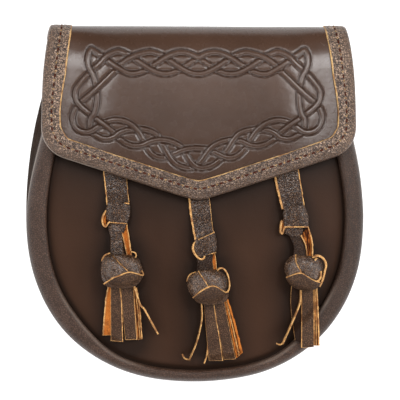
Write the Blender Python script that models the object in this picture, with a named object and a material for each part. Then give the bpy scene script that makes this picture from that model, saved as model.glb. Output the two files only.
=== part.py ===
"""Sporran pouch: a round brown leather pouch with a bound, folded-over flap and three knotted tassels.

It lies on its back. +Z is out of the front, +Y is towards the top fold, and the origin is on the surface that it
rests on, under the middle of the pouch. Every wall is leather 1 to 3 mm thick and the pouch is hollow.
"""

import math

import bmesh
import bpy
import numpy as np

MM = 0.001

# ---- the pouch outline, seen from the front -------------------------------------------------------------------
BODY_HALF_WIDTH = 94.9 * MM  # widest, at WAIST_Y
WAIST_Y = -6.7 * MM
BODY_DROP = 93.2 * MM  # from WAIST_Y down to the bottom
ROUNDNESS = 2.27  # exponent of the superellipse below WAIST_Y: 2 is an ellipse, more is squarer
SIDE_REACH = 157.0 * MM  # half height of the ellipse that the sides follow above WAIST_Y
MOUTH_Y = 84.0 * MM  # where the gusset ends, under the flap
FRONT_PULL = 8.0 * MM  # how much further the front edge is drawn in at the mouth
FRONT_PULL_POWER = 1.3

# ---- heights above the surface it lies on ---------------------------------------------------------------------
RIM_TOP_BOTTOM = 36.5 * MM  # top of the rolled front edge, at the bottom of the pouch
RIM_TOP_MOUTH = 30.5 * MM  # the same at the mouth
RIM_RISE = 5.5 * MM  # rolled edge above the front panel's seam
BACK_FACE_Z = 6.8 * MM  # the back panel's outer face: it is set in between the rolled edges

# ---- rolled edges of the gusset -------------------------------------------------------------------------------
GUSSET_WALL = 1.8 * MM
RIM_WIDTH_SIDE = 11.2 * MM
RIM_WIDTH_BOTTOM = 6.8 * MM
RIM_NARROW_FROM = 80.0 * MM  # distance from the middle where the rolled edge starts to narrow
RIM_NARROW_TO = 42.0 * MM
LIP_RADIUS = 2.5 * MM
RIM_ROUND_SHARE = 0.63  # of the rolled edge's width
RIM_ROUND_DOWN = 9.0 * MM
RIM_FALL = 0.5 * MM
SIDE_WAIST = 1.3 * MM
BACK_ROUND_ACROSS = 5.0 * MM
BACK_ROUND_UP = 7.5 * MM
BACK_LAND = 3.0 * MM  # flat strip that the pouch rests on
BACK_LIP_RADIUS = 2.2 * MM

# ---- panels ---------------------------------------------------------------------------------------------------
PANEL_WALL = 2.2 * MM
PANEL_UNDER_RIM = 3.4 * MM  # how far a panel runs on into the rolled edge
FRONT_DOME = 8.2 * MM
FRONT_DOME_TOP_REACH = 100.0 * MM
FRONT_PANEL_TOP_Y = 80.0 * MM

# ---- flap -----------------------------------------------------------------------------------------------------
FLAP_CENTRE_X = 1.3 * MM  # the flap sits a little to one side
FLAP_FOLD_Y = 84.0 * MM  # where the back panel starts to turn over the mouth
FLAP_TOP_Y = 97.4 * MM
FLAP_FRONT_FOLD_Y = 74.0 * MM
FLAP_FOLD_Z = 23.5 * MM
FLAP_FRONT_Z = 41.0 * MM  # middle of the flap's wall where the fold ends
FLAP_TIP_Z = 42.2 * MM
FLAP_TOP_HALF = 81.9 * MM
FLAP_WIDE_HALF = 86.5 * MM
FLAP_WIDE_Y = 44.0 * MM
FLAP_SIDE_POWER = 2.1
FLAP_LOW_Y = 1.7 * MM  # height that the two halves of the lower edge would meet at
FLAP_SLOPE = 0.33  # rise of the lower edge for each unit outwards
FLAP_TIP_ROUND = 4.5 * MM
FLAP_TIP_X = -1.0 * MM  # from the flap's middle
FLAP_CORNER_RADIUS = 17.0 * MM
FLAP_DROOP = 6.0 * MM
FLAP_DROOP_POWER = 3.5

BIND_WIDTH = 9.3 * MM  # from the flap leather's edge inwards
BIND_WALL = 1.0 * MM
BIND_GAP = 0.35 * MM
BIND_FROM_HALF = 79.0 * MM  # the binding starts on the fold where the flap is this wide

GAP = 0.35 * MM  # between pieces that lie on each other
SEAM_GAP = 0.6 * MM  # between the rolled edges and the panels

# ---- small pieces ---------------------------------------------------------------------------------------------
STRAP_WALL = 1.5 * MM
LOOP_X = 40.0 * MM
LOOP_LOW_Y = 6.0 * MM
LOOP_LENGTH = 50.0 * MM
LOOP_PAD = 8.0 * MM
LOOP_RAMP = 4.0 * MM
LOOP_WIDTH = 18.0 * MM
LOOP_WALL = 1.6 * MM
LOOP_CLEAR = 0.3 * MM  # above the surface that the pouch rests on
STUD_Y = 27.0 * MM
STUD_RADIUS = 6.0 * MM

# Hanging straps: middle at the flap and at the collar, width, and the collar's width and height.
HANGERS = {
    "left": dict(top=(-46.3, 34.0), low=(-44.7, -5.5), width=11.9, collar=(14.6, 10.4)),
    "middle": dict(top=(-0.4, 14.0), low=(4.0, -23.2), width=10.2, collar=(12.8, 10.4)),
    "right": dict(top=(46.3, 34.0), low=(54.6, -7.7), width=12.0, collar=(14.6, 11.4)),
}
COLLAR_DEPTH = 6.4 * MM

# Knots: middle, half width, half height; the neck joins the collar to the knot.
KNOTS = {
    "left": dict(centre=(-42.0, -37.0), half=(12.0, 9.5), neck_width=9.2),
    "middle": dict(centre=(5.8, -45.9), half=(12.0, 9.9), neck_width=7.5),
    "right": dict(centre=(59.8, -38.7), half=(11.8, 10.4), neck_width=9.2),
}
KNOT_HALF_DEPTH = 5.8 * MM
KNOT_SQUARE = 2.8  # exponent of the knot's outline: 2 is an ellipse
KNOT_TAPER = 0.22
NECK_WALL = 1.9 * MM

# Fringe strips of each tassel: x at the knot, x and y of the free end, sideways bow, turn in degrees (0 lies flat,
# 90 stands on its edge), layer counted up from the pouch, and width.
STRIP_COLUMNS = ("start_x", "end_x", "end_y", "bow", "turn", "layer", "width")
STRIPS = {
    "left": (
        (-48.2, -50.7, -73.4, 0.0, 30, 0, 5.0),
        (-46.3, -44.5, -76.7, 0.0, 0, 1, 6.2),
        (-39.7, -37.3, -76.7, 0.0, 0, 1, 6.4),
        (-34.4, -31.8, -75.5, 0.0, -65, 0, 5.6),
        (-33.4, -22.1, -72.9, 0.6, -76, 1, 5.2),
    ),
    "middle": (
        (1.0, -6.3, -87.6, 2.5, -38, 0, 5.2),
        (4.4, 3.6, -88.5, 0.0, 0, 0, 4.4),
        (5.0, 10.8, -87.5, 0.0, 0, 1, 6.0),
        (11.3, 18.5, -87.2, 0.0, 0, 1, 6.4),
        (17.0, 24.2, -84.4, 0.0, -62, 0, 5.4),
    ),
    "right": (
        (56.6, 46.0, -78.6, 1.9, -35, 1, 4.8),
        (58.7, 56.6, -79.5, 0.0, 0, 0, 4.2),
        (61.0, 61.6, -80.7, 0.0, 0, 1, 6.0),
        (66.3, 67.1, -79.4, 0.0, -60, 0, 5.2),
    ),
}
STRIP_WALL = 1.4 * MM
STRIP_LAYER = 1.7 * MM
CORE_SHARE = 0.42  # how far down the strips are fused together

# ---- facets ---------------------------------------------------------------------------------------------------
OUTLINE_STATIONS = 37
FLAP_COLUMNS = 23
BACK_ROWS = 9
FOLD_ROWS = 6
FRONT_ROWS = 9

BROWN = (0.066, 0.040, 0.028, 1.0)
GRAIN_BROWN = (0.084, 0.056, 0.043, 1.0)
STUD_BRASS = (0.45, 0.30, 0.13, 1.0)


def clear_scene():
    for obj in list(bpy.data.objects):
        bpy.data.objects.remove(obj, do_unlink=True)


def finish(name, colour, roughness, metallic=0.0):
    material = bpy.data.materials.new(name)
    material.use_nodes = True
    shader = material.node_tree.nodes["Principled BSDF"]
    shader.inputs["Base Color"].default_value = colour
    shader.inputs["Roughness"].default_value = roughness
    shader.inputs["Metallic"].default_value = metallic
    return material


def add_object(name, bm, material):
    """Makes an object from bm, with its faces turned outwards."""
    bmesh.ops.recalc_face_normals(bm, faces=bm.faces)
    mesh = bpy.data.meshes.new(name)
    bm.to_mesh(mesh)
    bm.free()
    mesh.shade_smooth()
    mesh.set_sharp_from_angle(angle=math.radians(40))
    obj = bpy.data.objects.new(name, mesh)
    obj.data.materials.append(material)
    bpy.context.scene.collection.objects.link(obj)
    return obj


def grid_faces(rows, closed=False):
    """Corner lists of the faces between neighbouring rows of points."""
    faces = []
    for first, second in zip(rows, rows[1:]):
        count = len(first)
        for i in range(count if closed else count - 1):
            j = (i + 1) % count
            faces.append((first[i], first[j], second[j], second[i]))
    return faces


def rows_to_mesh(rows, closed=False, caps=False):
    """A bmesh through rows of points. Closed rows are rings, and caps close the two end rings."""
    bm = bmesh.new()
    made = [[bm.verts.new(tuple(float(v) for v in point)) for point in row] for row in rows]
    for face in grid_faces(made, closed):
        bm.faces.new(face)
    if caps:
        bm.faces.new(made[0])
        bm.faces.new(made[-1])
    return bm


def thicken(obj, wall, offset):
    solid = obj.modifiers.new("wall", "SOLIDIFY")
    solid.thickness = wall
    solid.offset = offset
    return obj


def smooth_step(low, high, x):
    t = np.clip((np.asarray(x, float) - low) / (high - low), 0.0, 1.0)
    return t * t * (3.0 - 2.0 * t)


def evenly(points, count):
    """The given number of points at equal steps along a line through points."""
    points = np.asarray(points, float)
    run = np.append(0.0, np.cumsum(np.linalg.norm(np.diff(points, axis=0), axis=1)))
    at = np.linspace(0.0, run[-1], count)
    return np.column_stack([np.interp(at, run, column) for column in points.T])


def arc(centre, across, up, start, end, count):
    """Points of an elliptical arc, angles in degrees."""
    angle = np.radians(np.linspace(start, end, count))
    return [(centre[0] + across * math.cos(a), centre[1] + up * math.sin(a)) for a in angle]


# ---- the pouch's outline and heights --------------------------------------------------------------------------


def side_half_width(y):
    """Half width of the back outline above the waist."""
    rise = np.clip((np.asarray(y, float) - WAIST_Y) / SIDE_REACH, 0.0, 1.0)
    return BODY_HALF_WIDTH * np.sqrt(1.0 - rise**2)


def low_half_width(y):
    """Half width of the back outline below the waist."""
    fall = np.clip((WAIST_Y - np.asarray(y, float)) / BODY_DROP, 0.0, 1.0)
    return BODY_HALF_WIDTH * (1.0 - fall**ROUNDNESS) ** (1.0 / ROUNDNESS)


def pouch_outline(count):
    """Points evenly spaced along the back outline, from the right end of the mouth round the bottom to the left
    end, with their outward directions."""
    side_y = np.linspace(MOUTH_Y, WAIST_Y, 60)
    turn = np.linspace(0.0, math.pi / 2, 160)[1:]
    power = 2.0 / ROUNDNESS
    low_x = BODY_HALF_WIDTH * np.cos(turn).clip(0.0) ** power
    low_y = WAIST_Y - BODY_DROP * np.sin(turn) ** power
    right = np.column_stack([np.append(side_half_width(side_y), low_x), np.append(side_y, low_y)])
    points = evenly(np.vstack([right, right[-2::-1] * (-1.0, 1.0)]), count)
    ahead = np.gradient(points, axis=0)
    out = np.column_stack([-ahead[:, 1], ahead[:, 0]])
    return points, out / np.linalg.norm(out, axis=1)[:, None]


def rim_width(x):
    """Width of the rolled front edge where the outline is at x."""
    wide = smooth_step(RIM_NARROW_TO, RIM_NARROW_FROM, np.abs(x))
    return RIM_WIDTH_BOTTOM + (RIM_WIDTH_SIDE - RIM_WIDTH_BOTTOM) * wide


def front_pull(y):
    """How far the front edge lies inside the back outline at height y."""
    rise = np.clip((np.asarray(y, float) - WAIST_Y) / (MOUTH_Y - WAIST_Y), 0.0, 1.0)
    return FRONT_PULL * rise**FRONT_PULL_POWER


def rim_top(y):
    bottom = WAIST_Y - BODY_DROP
    share = (np.asarray(y, float) - bottom) / (MOUTH_Y - bottom)
    return RIM_TOP_BOTTOM + (RIM_TOP_MOUTH - RIM_TOP_BOTTOM) * share


def panel_z(x, y):
    """Outer face of the front panel: level at its seam and domed inside it."""
    reach = np.where(np.asarray(y) < WAIST_Y, BODY_DROP - RIM_WIDTH_BOTTOM, FRONT_DOME_TOP_REACH)
    across = np.abs(x) / (BODY_HALF_WIDTH - RIM_WIDTH_SIDE)
    along = np.abs(np.asarray(y) - WAIST_Y) / reach
    inside = np.clip(1.0 - across**ROUNDNESS - along**ROUNDNESS, 0.0, 1.0)
    return rim_top(y) - RIM_RISE + FRONT_DOME * inside**0.85


def front_z(x, y):
    """Top of the pouch's front at x, y: the panel, or the rolled edge round it."""
    if y >= WAIST_Y:
        depth = float(side_half_width(y)) - abs(x)
    else:
        size = (abs(x) / BODY_HALF_WIDTH) ** ROUNDNESS + ((WAIST_Y - y) / BODY_DROP) ** ROUNDNESS
        depth = math.hypot(x, y - WAIST_Y) * (size ** (-1.0 / ROUNDNESS) - 1.0)
    over_rim = float(smooth_step(RIM_WIDTH_SIDE + 5.0 * MM, RIM_WIDTH_SIDE + 0.5 * MM, depth))
    panel = float(panel_z(x, y))
    return panel + over_rim * max(float(rim_top(y)) + 0.3 * MM - panel, 0.0)


def resting_z(x, y, reach):
    """The height that something reaching this far to each side rests at."""
    return max(front_z(x + reach * side, y) for side in (-1.0, -0.5, 0.0, 0.5, 1.0)) + GAP


# ---- gusset ---------------------------------------------------------------------------------------------------


def gusset_section(width, top, seam):
    """The strip's outer face in section, from the front lip over the rolled edge and round to the back lip.
    The first number is outwards from the outline, the second is height."""
    round_across = RIM_ROUND_SHARE * width
    lip = (-width + LIP_RADIUS, top - LIP_RADIUS)
    shoulder = (-round_across, top - RIM_FALL - RIM_ROUND_DOWN)
    back = (-BACK_ROUND_ACROSS, BACK_ROUND_UP)
    back_lip = (-BACK_ROUND_ACROSS - BACK_LAND, BACK_LIP_RADIUS)
    section = [(-width, seam + SEAM_GAP)]
    section += arc(lip, LIP_RADIUS, LIP_RADIUS, 180, 84, 4)
    section += arc(shoulder, round_across, RIM_ROUND_DOWN, 72, 0, 4)
    section += [(-SIDE_WAIST, 0.5 * (shoulder[1] + back[1]))]
    section += arc(back, BACK_ROUND_ACROSS, BACK_ROUND_UP, 0, -90, 4)
    section += arc(back_lip, BACK_LIP_RADIUS, BACK_LIP_RADIUS, -90, -180, 3)
    section += [(back_lip[0] - BACK_LIP_RADIUS, BACK_FACE_Z - SEAM_GAP)]
    return section


def build_gusset(material):
    """The side strip: one length of leather rolled over the front and the back edge."""
    points, out = pouch_outline(OUTLINE_STATIONS)
    rings = []
    for (x, y), (nx, ny) in zip(points, out):
        top = float(rim_top(y))
        pull = float(front_pull(y))
        width = float(rim_width(x))
        seam = float(panel_z(x - nx * (width + pull), y - ny * (width + pull)))
        ring = []
        for across, z in gusset_section(width, top, seam):
            u = across - pull * float(smooth_step(0.25 * top, top, z))
            ring.append((x + nx * u, y + ny * u, z))
        rings.append(ring)
    gusset = add_object("gusset", rows_to_mesh(rings), material)
    return thicken(gusset, GUSSET_WALL, inner_side(gusset))


def inner_side(obj):
    """Solidify's offset that thickens an open shell towards the pouch's middle."""
    middle = np.array((0.0, 0.0, FLAP_FOLD_Z))
    faces = obj.data.polygons
    score = sum(np.dot(np.array(face.center) - middle, np.array(face.normal)) * face.area for face in faces)
    return -1.0 if score > 0 else 1.0


# ---- panels ---------------------------------------------------------------------------------------------------


def build_front_panel(material):
    """A domed disc of leather: its outline drawn in towards the middle in rings."""
    points, out = pouch_outline(34)
    depth = rim_width(points[:, 0]) - PANEL_UNDER_RIM + front_pull(points[:, 1])
    edge = points - out * depth[:, None]
    edge[:, 1] = np.minimum(edge[:, 1], FRONT_PANEL_TOP_Y)
    edge = np.vstack([edge, np.linspace(edge[-1], edge[0], 12)[1:-1]])
    middle = np.array((0.0, WAIST_Y))
    rings = []
    for share in (1.0, 0.95, 0.86, 0.71, 0.5, 0.25):
        ring = middle + (edge - middle) * share
        rings.append([(x, y, float(panel_z(x, y))) for x, y in ring])
    bm = rows_to_mesh(rings, closed=True)
    bm.verts.ensure_lookup_table()
    bm.faces.new(bm.verts[-len(edge):])
    panel = add_object("front_panel", bm, material)
    return thicken(panel, PANEL_WALL, inner_side(panel))


# ---- back panel and flap --------------------------------------------------------------------------------------


def flap_half_width(y):
    """Half width of the flap's front and fold at height y."""
    rise = np.clip((np.asarray(y, float) - FLAP_WIDE_Y) / (FLAP_TOP_Y - FLAP_WIDE_Y), 0.0, 1.0)
    return FLAP_WIDE_HALF - (FLAP_WIDE_HALF - FLAP_TOP_HALF) * rise**FLAP_SIDE_POWER


def flap_front_z(y):
    share = np.clip((FLAP_FRONT_FOLD_Y - np.asarray(y, float)) / (FLAP_FRONT_FOLD_Y - FLAP_LOW_Y), 0.0, 1.0)
    return FLAP_FRONT_Z + (FLAP_TIP_Z - FLAP_FRONT_Z) * share


def flap_low_y(u):
    """Height of the flap's lower edge at u across from the flap's middle, without its round corners."""
    return FLAP_LOW_Y + FLAP_SLOPE * np.hypot(np.asarray(u, float) - FLAP_TIP_X, FLAP_TIP_ROUND)


def flap_edge_y(columns):
    """Height of the flap's lower edge at each column, with round corners."""
    radius = FLAP_CORNER_RADIUS
    centre_u = FLAP_WIDE_HALF - radius
    low = flap_low_y(columns * FLAP_WIDE_HALF)
    u = np.abs(columns) * FLAP_WIDE_HALF
    lean = math.atan(FLAP_SLOPE)
    touch = centre_u + radius * math.sin(lean)
    for side in (-1.0, 1.0):
        centre_y = float(flap_low_y(side * centre_u)) + radius / math.cos(lean)
        corner = centre_y - np.sqrt(np.clip(radius**2 - (u - centre_u) ** 2, 0.0, None))
        low = np.where((np.sign(columns) == side) & (u > touch), corner, low)
    return low


def droop(c):
    """How far the flap's sides hang below its middle, at c from -1 to 1 across."""
    return FLAP_DROOP * np.abs(c) ** FLAP_DROOP_POWER


def back_rows():
    """Height on the pouch, level and half width of the back panel's rows, from the bottom up."""
    inset = BACK_ROUND_ACROSS + BACK_LAND + BACK_LIP_RADIUS - PANEL_UNDER_RIM
    level = BACK_FACE_Z + PANEL_WALL / 2
    low_y = WAIST_Y - BODY_DROP + inset
    rows = []
    for turn in np.linspace(0.16, 1.0, BACK_ROWS)[:-1]:
        y = WAIST_Y - (WAIST_Y - low_y) * math.cos(turn * math.pi / 2)
        rows.append((y, level, float(low_half_width(y - 0.3 * inset)) - inset))
    for y in np.linspace(WAIST_Y, FLAP_FOLD_Y, 5):
        rows.append((y, level, float(side_half_width(y)) - inset))
    return rows


def fold_rows():
    """The same over the mouth, with the share of the droop as a fourth number."""
    level = BACK_FACE_Z + PANEL_WALL / 2
    start_half = back_rows()[-1][2]
    rows = []
    for a in np.radians(np.linspace(-90, 0, FOLD_ROWS + 1)[1:]):
        y = FLAP_FOLD_Y + (FLAP_TOP_Y - FLAP_FOLD_Y) * math.cos(a)
        z = FLAP_FOLD_Z + (FLAP_FOLD_Z - level) * math.sin(a)
        spread = float(smooth_step(FLAP_FOLD_Y, FLAP_FOLD_Y + 9.0 * MM, y))
        rows.append((y, z, start_half + (FLAP_TOP_HALF - start_half) * spread, 0.0))
    for a in np.radians(np.linspace(0, 90, FOLD_ROWS + 1)[1:]):
        y = FLAP_FRONT_FOLD_Y + (FLAP_TOP_Y - FLAP_FRONT_FOLD_Y) * math.cos(a)
        z = FLAP_FOLD_Z + (FLAP_FRONT_Z - FLAP_FOLD_Z) * math.sin(a)
        rows.append((y, z, float(flap_half_width(y)), math.sin(a) ** 2))
    return rows


def flap_columns():
    """Places across the flap from -1 to 1, closer together at the sides."""
    even = np.linspace(-1.0, 1.0, FLAP_COLUMNS)
    return 0.12 * even + 0.88 * np.sin(even * math.pi / 2)


def flap_point(u, y):
    """Point of the flap's front at u across from the flap's middle and height y."""
    return (FLAP_CENTRE_X + u, y, float(flap_front_z(y) - droop(u / flap_half_width(y))))


def front_rows():
    """Rows of the flap's front from the fold to the lower edge, as (u, y) pairs."""
    columns = flap_columns()
    low = flap_edge_y(columns)
    rows = []
    for down in np.linspace(0.0, 1.0, FRONT_ROWS + 1)[1:]:
        y = FLAP_FRONT_FOLD_Y + (low - FLAP_FRONT_FOLD_Y) * down
        rows.append(np.column_stack([columns * flap_half_width(y), y]))
    return rows


def build_back_and_flap(material):
    """One sheet: the back panel, the fold over the mouth, and the flap down to its pointed lower edge."""
    columns = flap_columns()
    rows = [[(c * half, y, z) for c in columns] for y, z, half in back_rows()]
    for y, z, half, share in fold_rows():
        shift = FLAP_CENTRE_X * float(smooth_step(BACK_FACE_Z, FLAP_FOLD_Z, z))
        rows.append([(shift + c * half, y, z - share * float(droop(c))) for c in columns])
    rows += [[flap_point(u, y) for u, y in row] for row in front_rows()]
    sheet = add_object("back_and_flap", rows_to_mesh(rows), material)
    return thicken(sheet, PANEL_WALL, 0.0)


def binding_lines():
    """For each station round the flap's edge: its point, the way along, and a function that gives the point of
    the sheet at a distance inwards from it."""
    stations = []
    for y, z, half, share in fold_rows():
        if half >= BIND_FROM_HALF:
            shift = FLAP_CENTRE_X * float(smooth_step(BACK_FACE_Z, FLAP_FOLD_Z, z))

            def fold_point(w, y=y, z=z, half=half, share=share, shift=shift):
                return (shift + half - w, y, z - share * float(droop((half - w) / half)))

            stations.append(fold_point)
    edge = [(row[-1][0], row[-1][1]) for row in front_rows()]
    edge += [(u, y) for u, y in front_rows()[-1][-2:0:-1]]
    edge += [(row[0][0], row[0][1]) for row in reversed(front_rows())]
    edge = np.array(edge)
    ahead = np.gradient(edge, axis=0)
    inwards = np.column_stack([ahead[:, 1], -ahead[:, 0]])
    inwards /= np.linalg.norm(inwards, axis=1)[:, None]
    right_side = len(stations)
    for (u, y), (iu, iy) in zip(edge, inwards):

        def front_point(w, u=u, y=y, iu=iu, iy=iy):
            return flap_point(u + iu * w, y + iy * w)

        stations.append(front_point)
    for fold_point in reversed(stations[:right_side]):

        def left_point(w, mirror=fold_point):
            x, y, z = mirror(w)
            shift = FLAP_CENTRE_X * float(smooth_step(BACK_FACE_Z, FLAP_FOLD_Z, z))
            return (2.0 * shift - x, y, z)

        stations.append(left_point)
    return stations


def build_binding(material):
    """A strip folded round the flap's edge: a channel carried along the edge."""
    half_slot = PANEL_WALL / 2 + BIND_GAP
    half_out = half_slot + BIND_WALL
    deep = -BIND_GAP - BIND_WALL
    section = [
        (BIND_WIDTH, half_slot),
        (BIND_WIDTH, half_out),
        (0.5 * BIND_WIDTH, half_out + 0.1 * MM),
        (0.6 * MM, half_out),
        (deep + 0.35 * MM, 0.7 * half_out),
        (deep, 0.0),
        (deep + 0.35 * MM, -0.7 * half_out),
        (0.6 * MM, -half_out),
        (0.5 * BIND_WIDTH, -half_out),
        (BIND_WIDTH, -half_out),
        (BIND_WIDTH, -half_slot),
        (0.5 * BIND_WIDTH, -half_slot),
        (-BIND_GAP, -half_slot),
        (-BIND_GAP, half_slot),
        (0.5 * BIND_WIDTH, half_slot),
    ]
    lines = binding_lines()
    ends = np.array([point(0.0) for point in lines])
    ahead = np.gradient(ends, axis=0)
    rings = []
    for point, along in zip(lines, ahead):
        ring = []
        for w, out in section:
            here = np.array(point(w))
            into = np.array(point(w + 0.5 * MM)) - np.array(point(w - 0.5 * MM))
            face = np.cross(into, along)
            ring.append(here + face / np.linalg.norm(face) * out)
        rings.append(ring)
    return add_object("flap_binding", rows_to_mesh(rings, closed=True, caps=True), material)


# ---- straps, collars, knots and fringe ------------------------------------------------------------------------


def ribbon(path, width, wall, turns=None):
    """A closed strip of leather along path. turns are the angles in radians that it is rolled about its length."""
    path = np.array(path, float)
    ahead = np.gradient(path, axis=0)
    ahead /= np.linalg.norm(ahead, axis=1)[:, None]
    turns = np.zeros(len(path)) if turns is None else np.asarray(turns, float)
    rings = []
    for p, along, turn in zip(path, ahead, turns):
        side = np.cross(along, (0.0, 0.0, 1.0))
        side /= np.linalg.norm(side)
        up = np.cross(side, along)
        across = (side * math.cos(turn) + up * math.sin(turn)) * width / 2
        thick = np.cross(across, along) / (width / 2) * wall / 2
        rings.append([p - across - thick, p + across - thick, p + across + thick, p - across + thick])
    return rows_to_mesh(rings, closed=True, caps=True)


def fuse(base, helpers):
    """Joins helper solids to base. They stay as hidden guides."""
    for helper in helpers:
        helper.hide_render = True
        helper.display_type = "WIRE"
        union = base.modifiers.new("join_" + helper.name, "BOOLEAN")
        union.operation = "UNION"
        union.object = helper
    return base


def mm_point(pair):
    return np.array(pair, float) * MM


def collar_floor(sizes):
    """Underside of the collar at the lower end of a hanging strap."""
    top, low = mm_point(sizes["top"]), mm_point(sizes["low"])
    along = (low - top) / np.linalg.norm(low - top)
    width, height = (size * MM for size in sizes["collar"])
    return max(resting_z(*(low + along * height * end), width / 2) for end in (-0.5, 0.0, 0.5))


def build_hanger(name, sizes, material):
    """A flat strap from under the flap, ending in a collar that the tassel's neck passes through."""
    top, low = mm_point(sizes["top"]), mm_point(sizes["low"])
    along = (low - top) / np.linalg.norm(low - top)
    side = np.array((along[1], -along[0]))
    width, height = (size * MM for size in sizes["collar"])
    half_depth = COLLAR_DEPTH / 2
    floor_z = collar_floor(sizes)
    rings = []
    for end, shrink in ((-0.5, 0.0), (0.5, 0.0), (0.5, STRAP_WALL), (-0.5, STRAP_WALL), (-0.5, 0.0)):
        ring = []
        for a in np.radians(np.arange(0, 360, 22.5)):
            u = math.copysign(abs(math.cos(a)) ** 0.6, math.cos(a)) * (width / 2 - shrink)
            w = math.copysign(abs(math.sin(a)) ** 0.7, math.sin(a)) * (half_depth - shrink)
            x, y = low + side * u + along * height * end
            ring.append((x, y, floor_z + half_depth + w))
        rings.append(ring)
    bm = rows_to_mesh(rings, closed=True)
    bmesh.ops.remove_doubles(bm, verts=bm.verts, dist=1e-7)
    hanger = add_object("hanger_" + name, bm, material)
    end = low - along * height * 0.30
    strap = []
    for share in np.linspace(0.0, 1.0, 9):
        x, y = top + (end - top) * share
        lift = float(smooth_step(0.74, 0.98, share)) * (floor_z + COLLAR_DEPTH - STRAP_WALL / 2 - 0.2 * MM)
        low_z = resting_z(x, y, sizes["width"] * MM / 2) + STRAP_WALL / 2 + 0.15 * MM
        strap.append((x, y, low_z * (1.0 - float(smooth_step(0.74, 0.98, share))) + lift))
    guide = add_object("guide_strap_" + name, ribbon(strap, sizes["width"] * MM, STRAP_WALL), material)
    return fuse(hanger, [guide])


def knot_lump(centre, half, rings=9, segments=16):
    """A rounded lump, squarer than an ellipsoid and narrower towards the fringe."""
    bm = bmesh.new()
    made = bmesh.ops.create_uvsphere(bm, u_segments=segments, v_segments=rings, radius=1.0)
    for v in made["verts"]:
        flat = math.hypot(v.co.x, v.co.y)
        square = (abs(v.co.x) ** KNOT_SQUARE + abs(v.co.y) ** KNOT_SQUARE) ** (1.0 / KNOT_SQUARE)
        grow = flat / square if square > 0.0 else 1.0
        x, y = v.co.x * grow, v.co.y * grow
        x *= 1.0 + KNOT_TAPER * min(y, 0.0)
        v.co = (centre[0] + x * half[0], centre[1] + y * half[1], centre[2] + v.co.z * half[2])
    return bm


def strip_path(row, start_y, start_z):
    """Centre line, turns and width of one fringe strip, lying on the pouch's front at its free end."""
    start = mm_point((row["start_x"], 0.0)) + (0.0, start_y)
    end = mm_point((row["end_x"], row["end_y"]))
    length = end - start
    side = np.array((-length[1], length[0])) / np.linalg.norm(length)
    width = row["width"] * MM
    path = []
    turns = []
    for share in np.linspace(0.0, 1.0, 10):
        turn = math.radians(row["turn"]) * float(smooth_step(0.0, CORE_SHARE, share))
        x, y = start + length * share + side * row["bow"] * MM * math.sin(math.pi * share)
        stands = abs(math.sin(turn)) * width / 2 + abs(math.cos(turn)) * STRIP_WALL / 2
        rest = resting_z(x, y, math.cos(turn) * width / 2) + stands + row["layer"] * STRIP_LAYER
        fall = float(smooth_step(0.0, 0.75, share))
        path.append((x, y, max(start_z * (1.0 - fall) + rest * fall, rest)))
        turns.append(turn)
    return np.array(path), turns, width


def fringe_core(strips):
    """A block that fills the space between the upper ends of a tassel's strips."""
    rings = []
    for share in np.linspace(0.0, CORE_SHARE, 4):
        at = []
        for path, _, _ in strips:
            shares = np.linspace(0.0, 1.0, len(path))
            at.append([np.interp(share, shares, path[:, i]) for i in range(3)])
        at = np.array(at)
        left = at[:, 0].min() - 1.0 * MM
        right = at[:, 0].max() + 1.0 * MM
        low, high = at[:, 2].min() - 0.4 * MM, at[:, 2].mean() + 0.5 * MM
        y = at[:, 1].mean()
        rings.append([(left, y, low), (right, y, low), (right, y, high), (left, y, high)])
    return rows_to_mesh(rings, closed=True, caps=True)


def build_tassel(name, sizes, rows, hanger, material):
    """Neck, knot and fringe as one piece of leather."""
    knot, half = mm_point(sizes["centre"]), mm_point(sizes["half"])
    middle_z = KNOT_HALF_DEPTH + max(
        resting_z(knot[0], knot[1] + half[1] * share, half[0] * 0.6) for share in (-0.4, 0.0, 0.5)
    )
    main = knot_lump((knot[0], knot[1], middle_z), (half[0], half[1], KNOT_HALF_DEPTH))
    tassel = add_object("tassel_" + name, main, material)
    guides = []
    collar = mm_point(hanger["low"])
    start_z = collar_floor(hanger) + 0.5 * COLLAR_DEPTH
    neck = []
    for share in np.linspace(0.0, 1.0, 7):
        x, y = collar + (knot - collar) * share * 0.82
        rise = float(smooth_step(0.3, 1.0, share))
        neck.append((x, y, start_z * (1.0 - rise) + middle_z * rise))
    guides.append(add_object("guide_neck_" + name, ribbon(neck, sizes["neck_width"] * MM, NECK_WALL), material))
    strips = []
    for values in rows:
        row = dict(zip(STRIP_COLUMNS, values))
        start_z = middle_z + (row["layer"] - 1) * 0.9 * MM
        strips.append(strip_path(row, knot[1] - half[1] * 0.45, start_z))
    guides.append(add_object("guide_core_" + name, fringe_core(strips), material))
    for number, (path, turns, width) in enumerate(strips):
        strip = ribbon(path, width, STRIP_WALL, turns)
        guides.append(add_object(f"guide_strip_{name}_{number}", strip, material))
    return fuse(tassel, guides)


# ---- back loops and closure -----------------------------------------------------------------------------------


def build_belt_loop(name, x, material):
    """A strap sewn down at both ends on the back: the chain strap passes between it and the back panel."""
    pad_z = BACK_FACE_Z - GAP - LOOP_WALL / 2
    low_z = LOOP_CLEAR + LOOP_WALL / 2
    far = LOOP_LENGTH - LOOP_PAD
    stops = [(0.0, pad_z), (LOOP_PAD, pad_z), (LOOP_PAD + LOOP_RAMP, low_z)]
    stops += [(far - LOOP_RAMP, low_z), (far, pad_z), (LOOP_LENGTH, pad_z)]
    rings = []
    for y, z in stops:
        corners = ((-1, -1), (1, -1), (1, 1), (-1, 1))
        rings.append([(x + a * LOOP_WIDTH / 2, LOOP_LOW_Y + y, z + b * LOOP_WALL / 2) for a, b in corners])
    return add_object("belt_loop_" + name, rows_to_mesh(rings, closed=True, caps=True), material)


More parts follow.
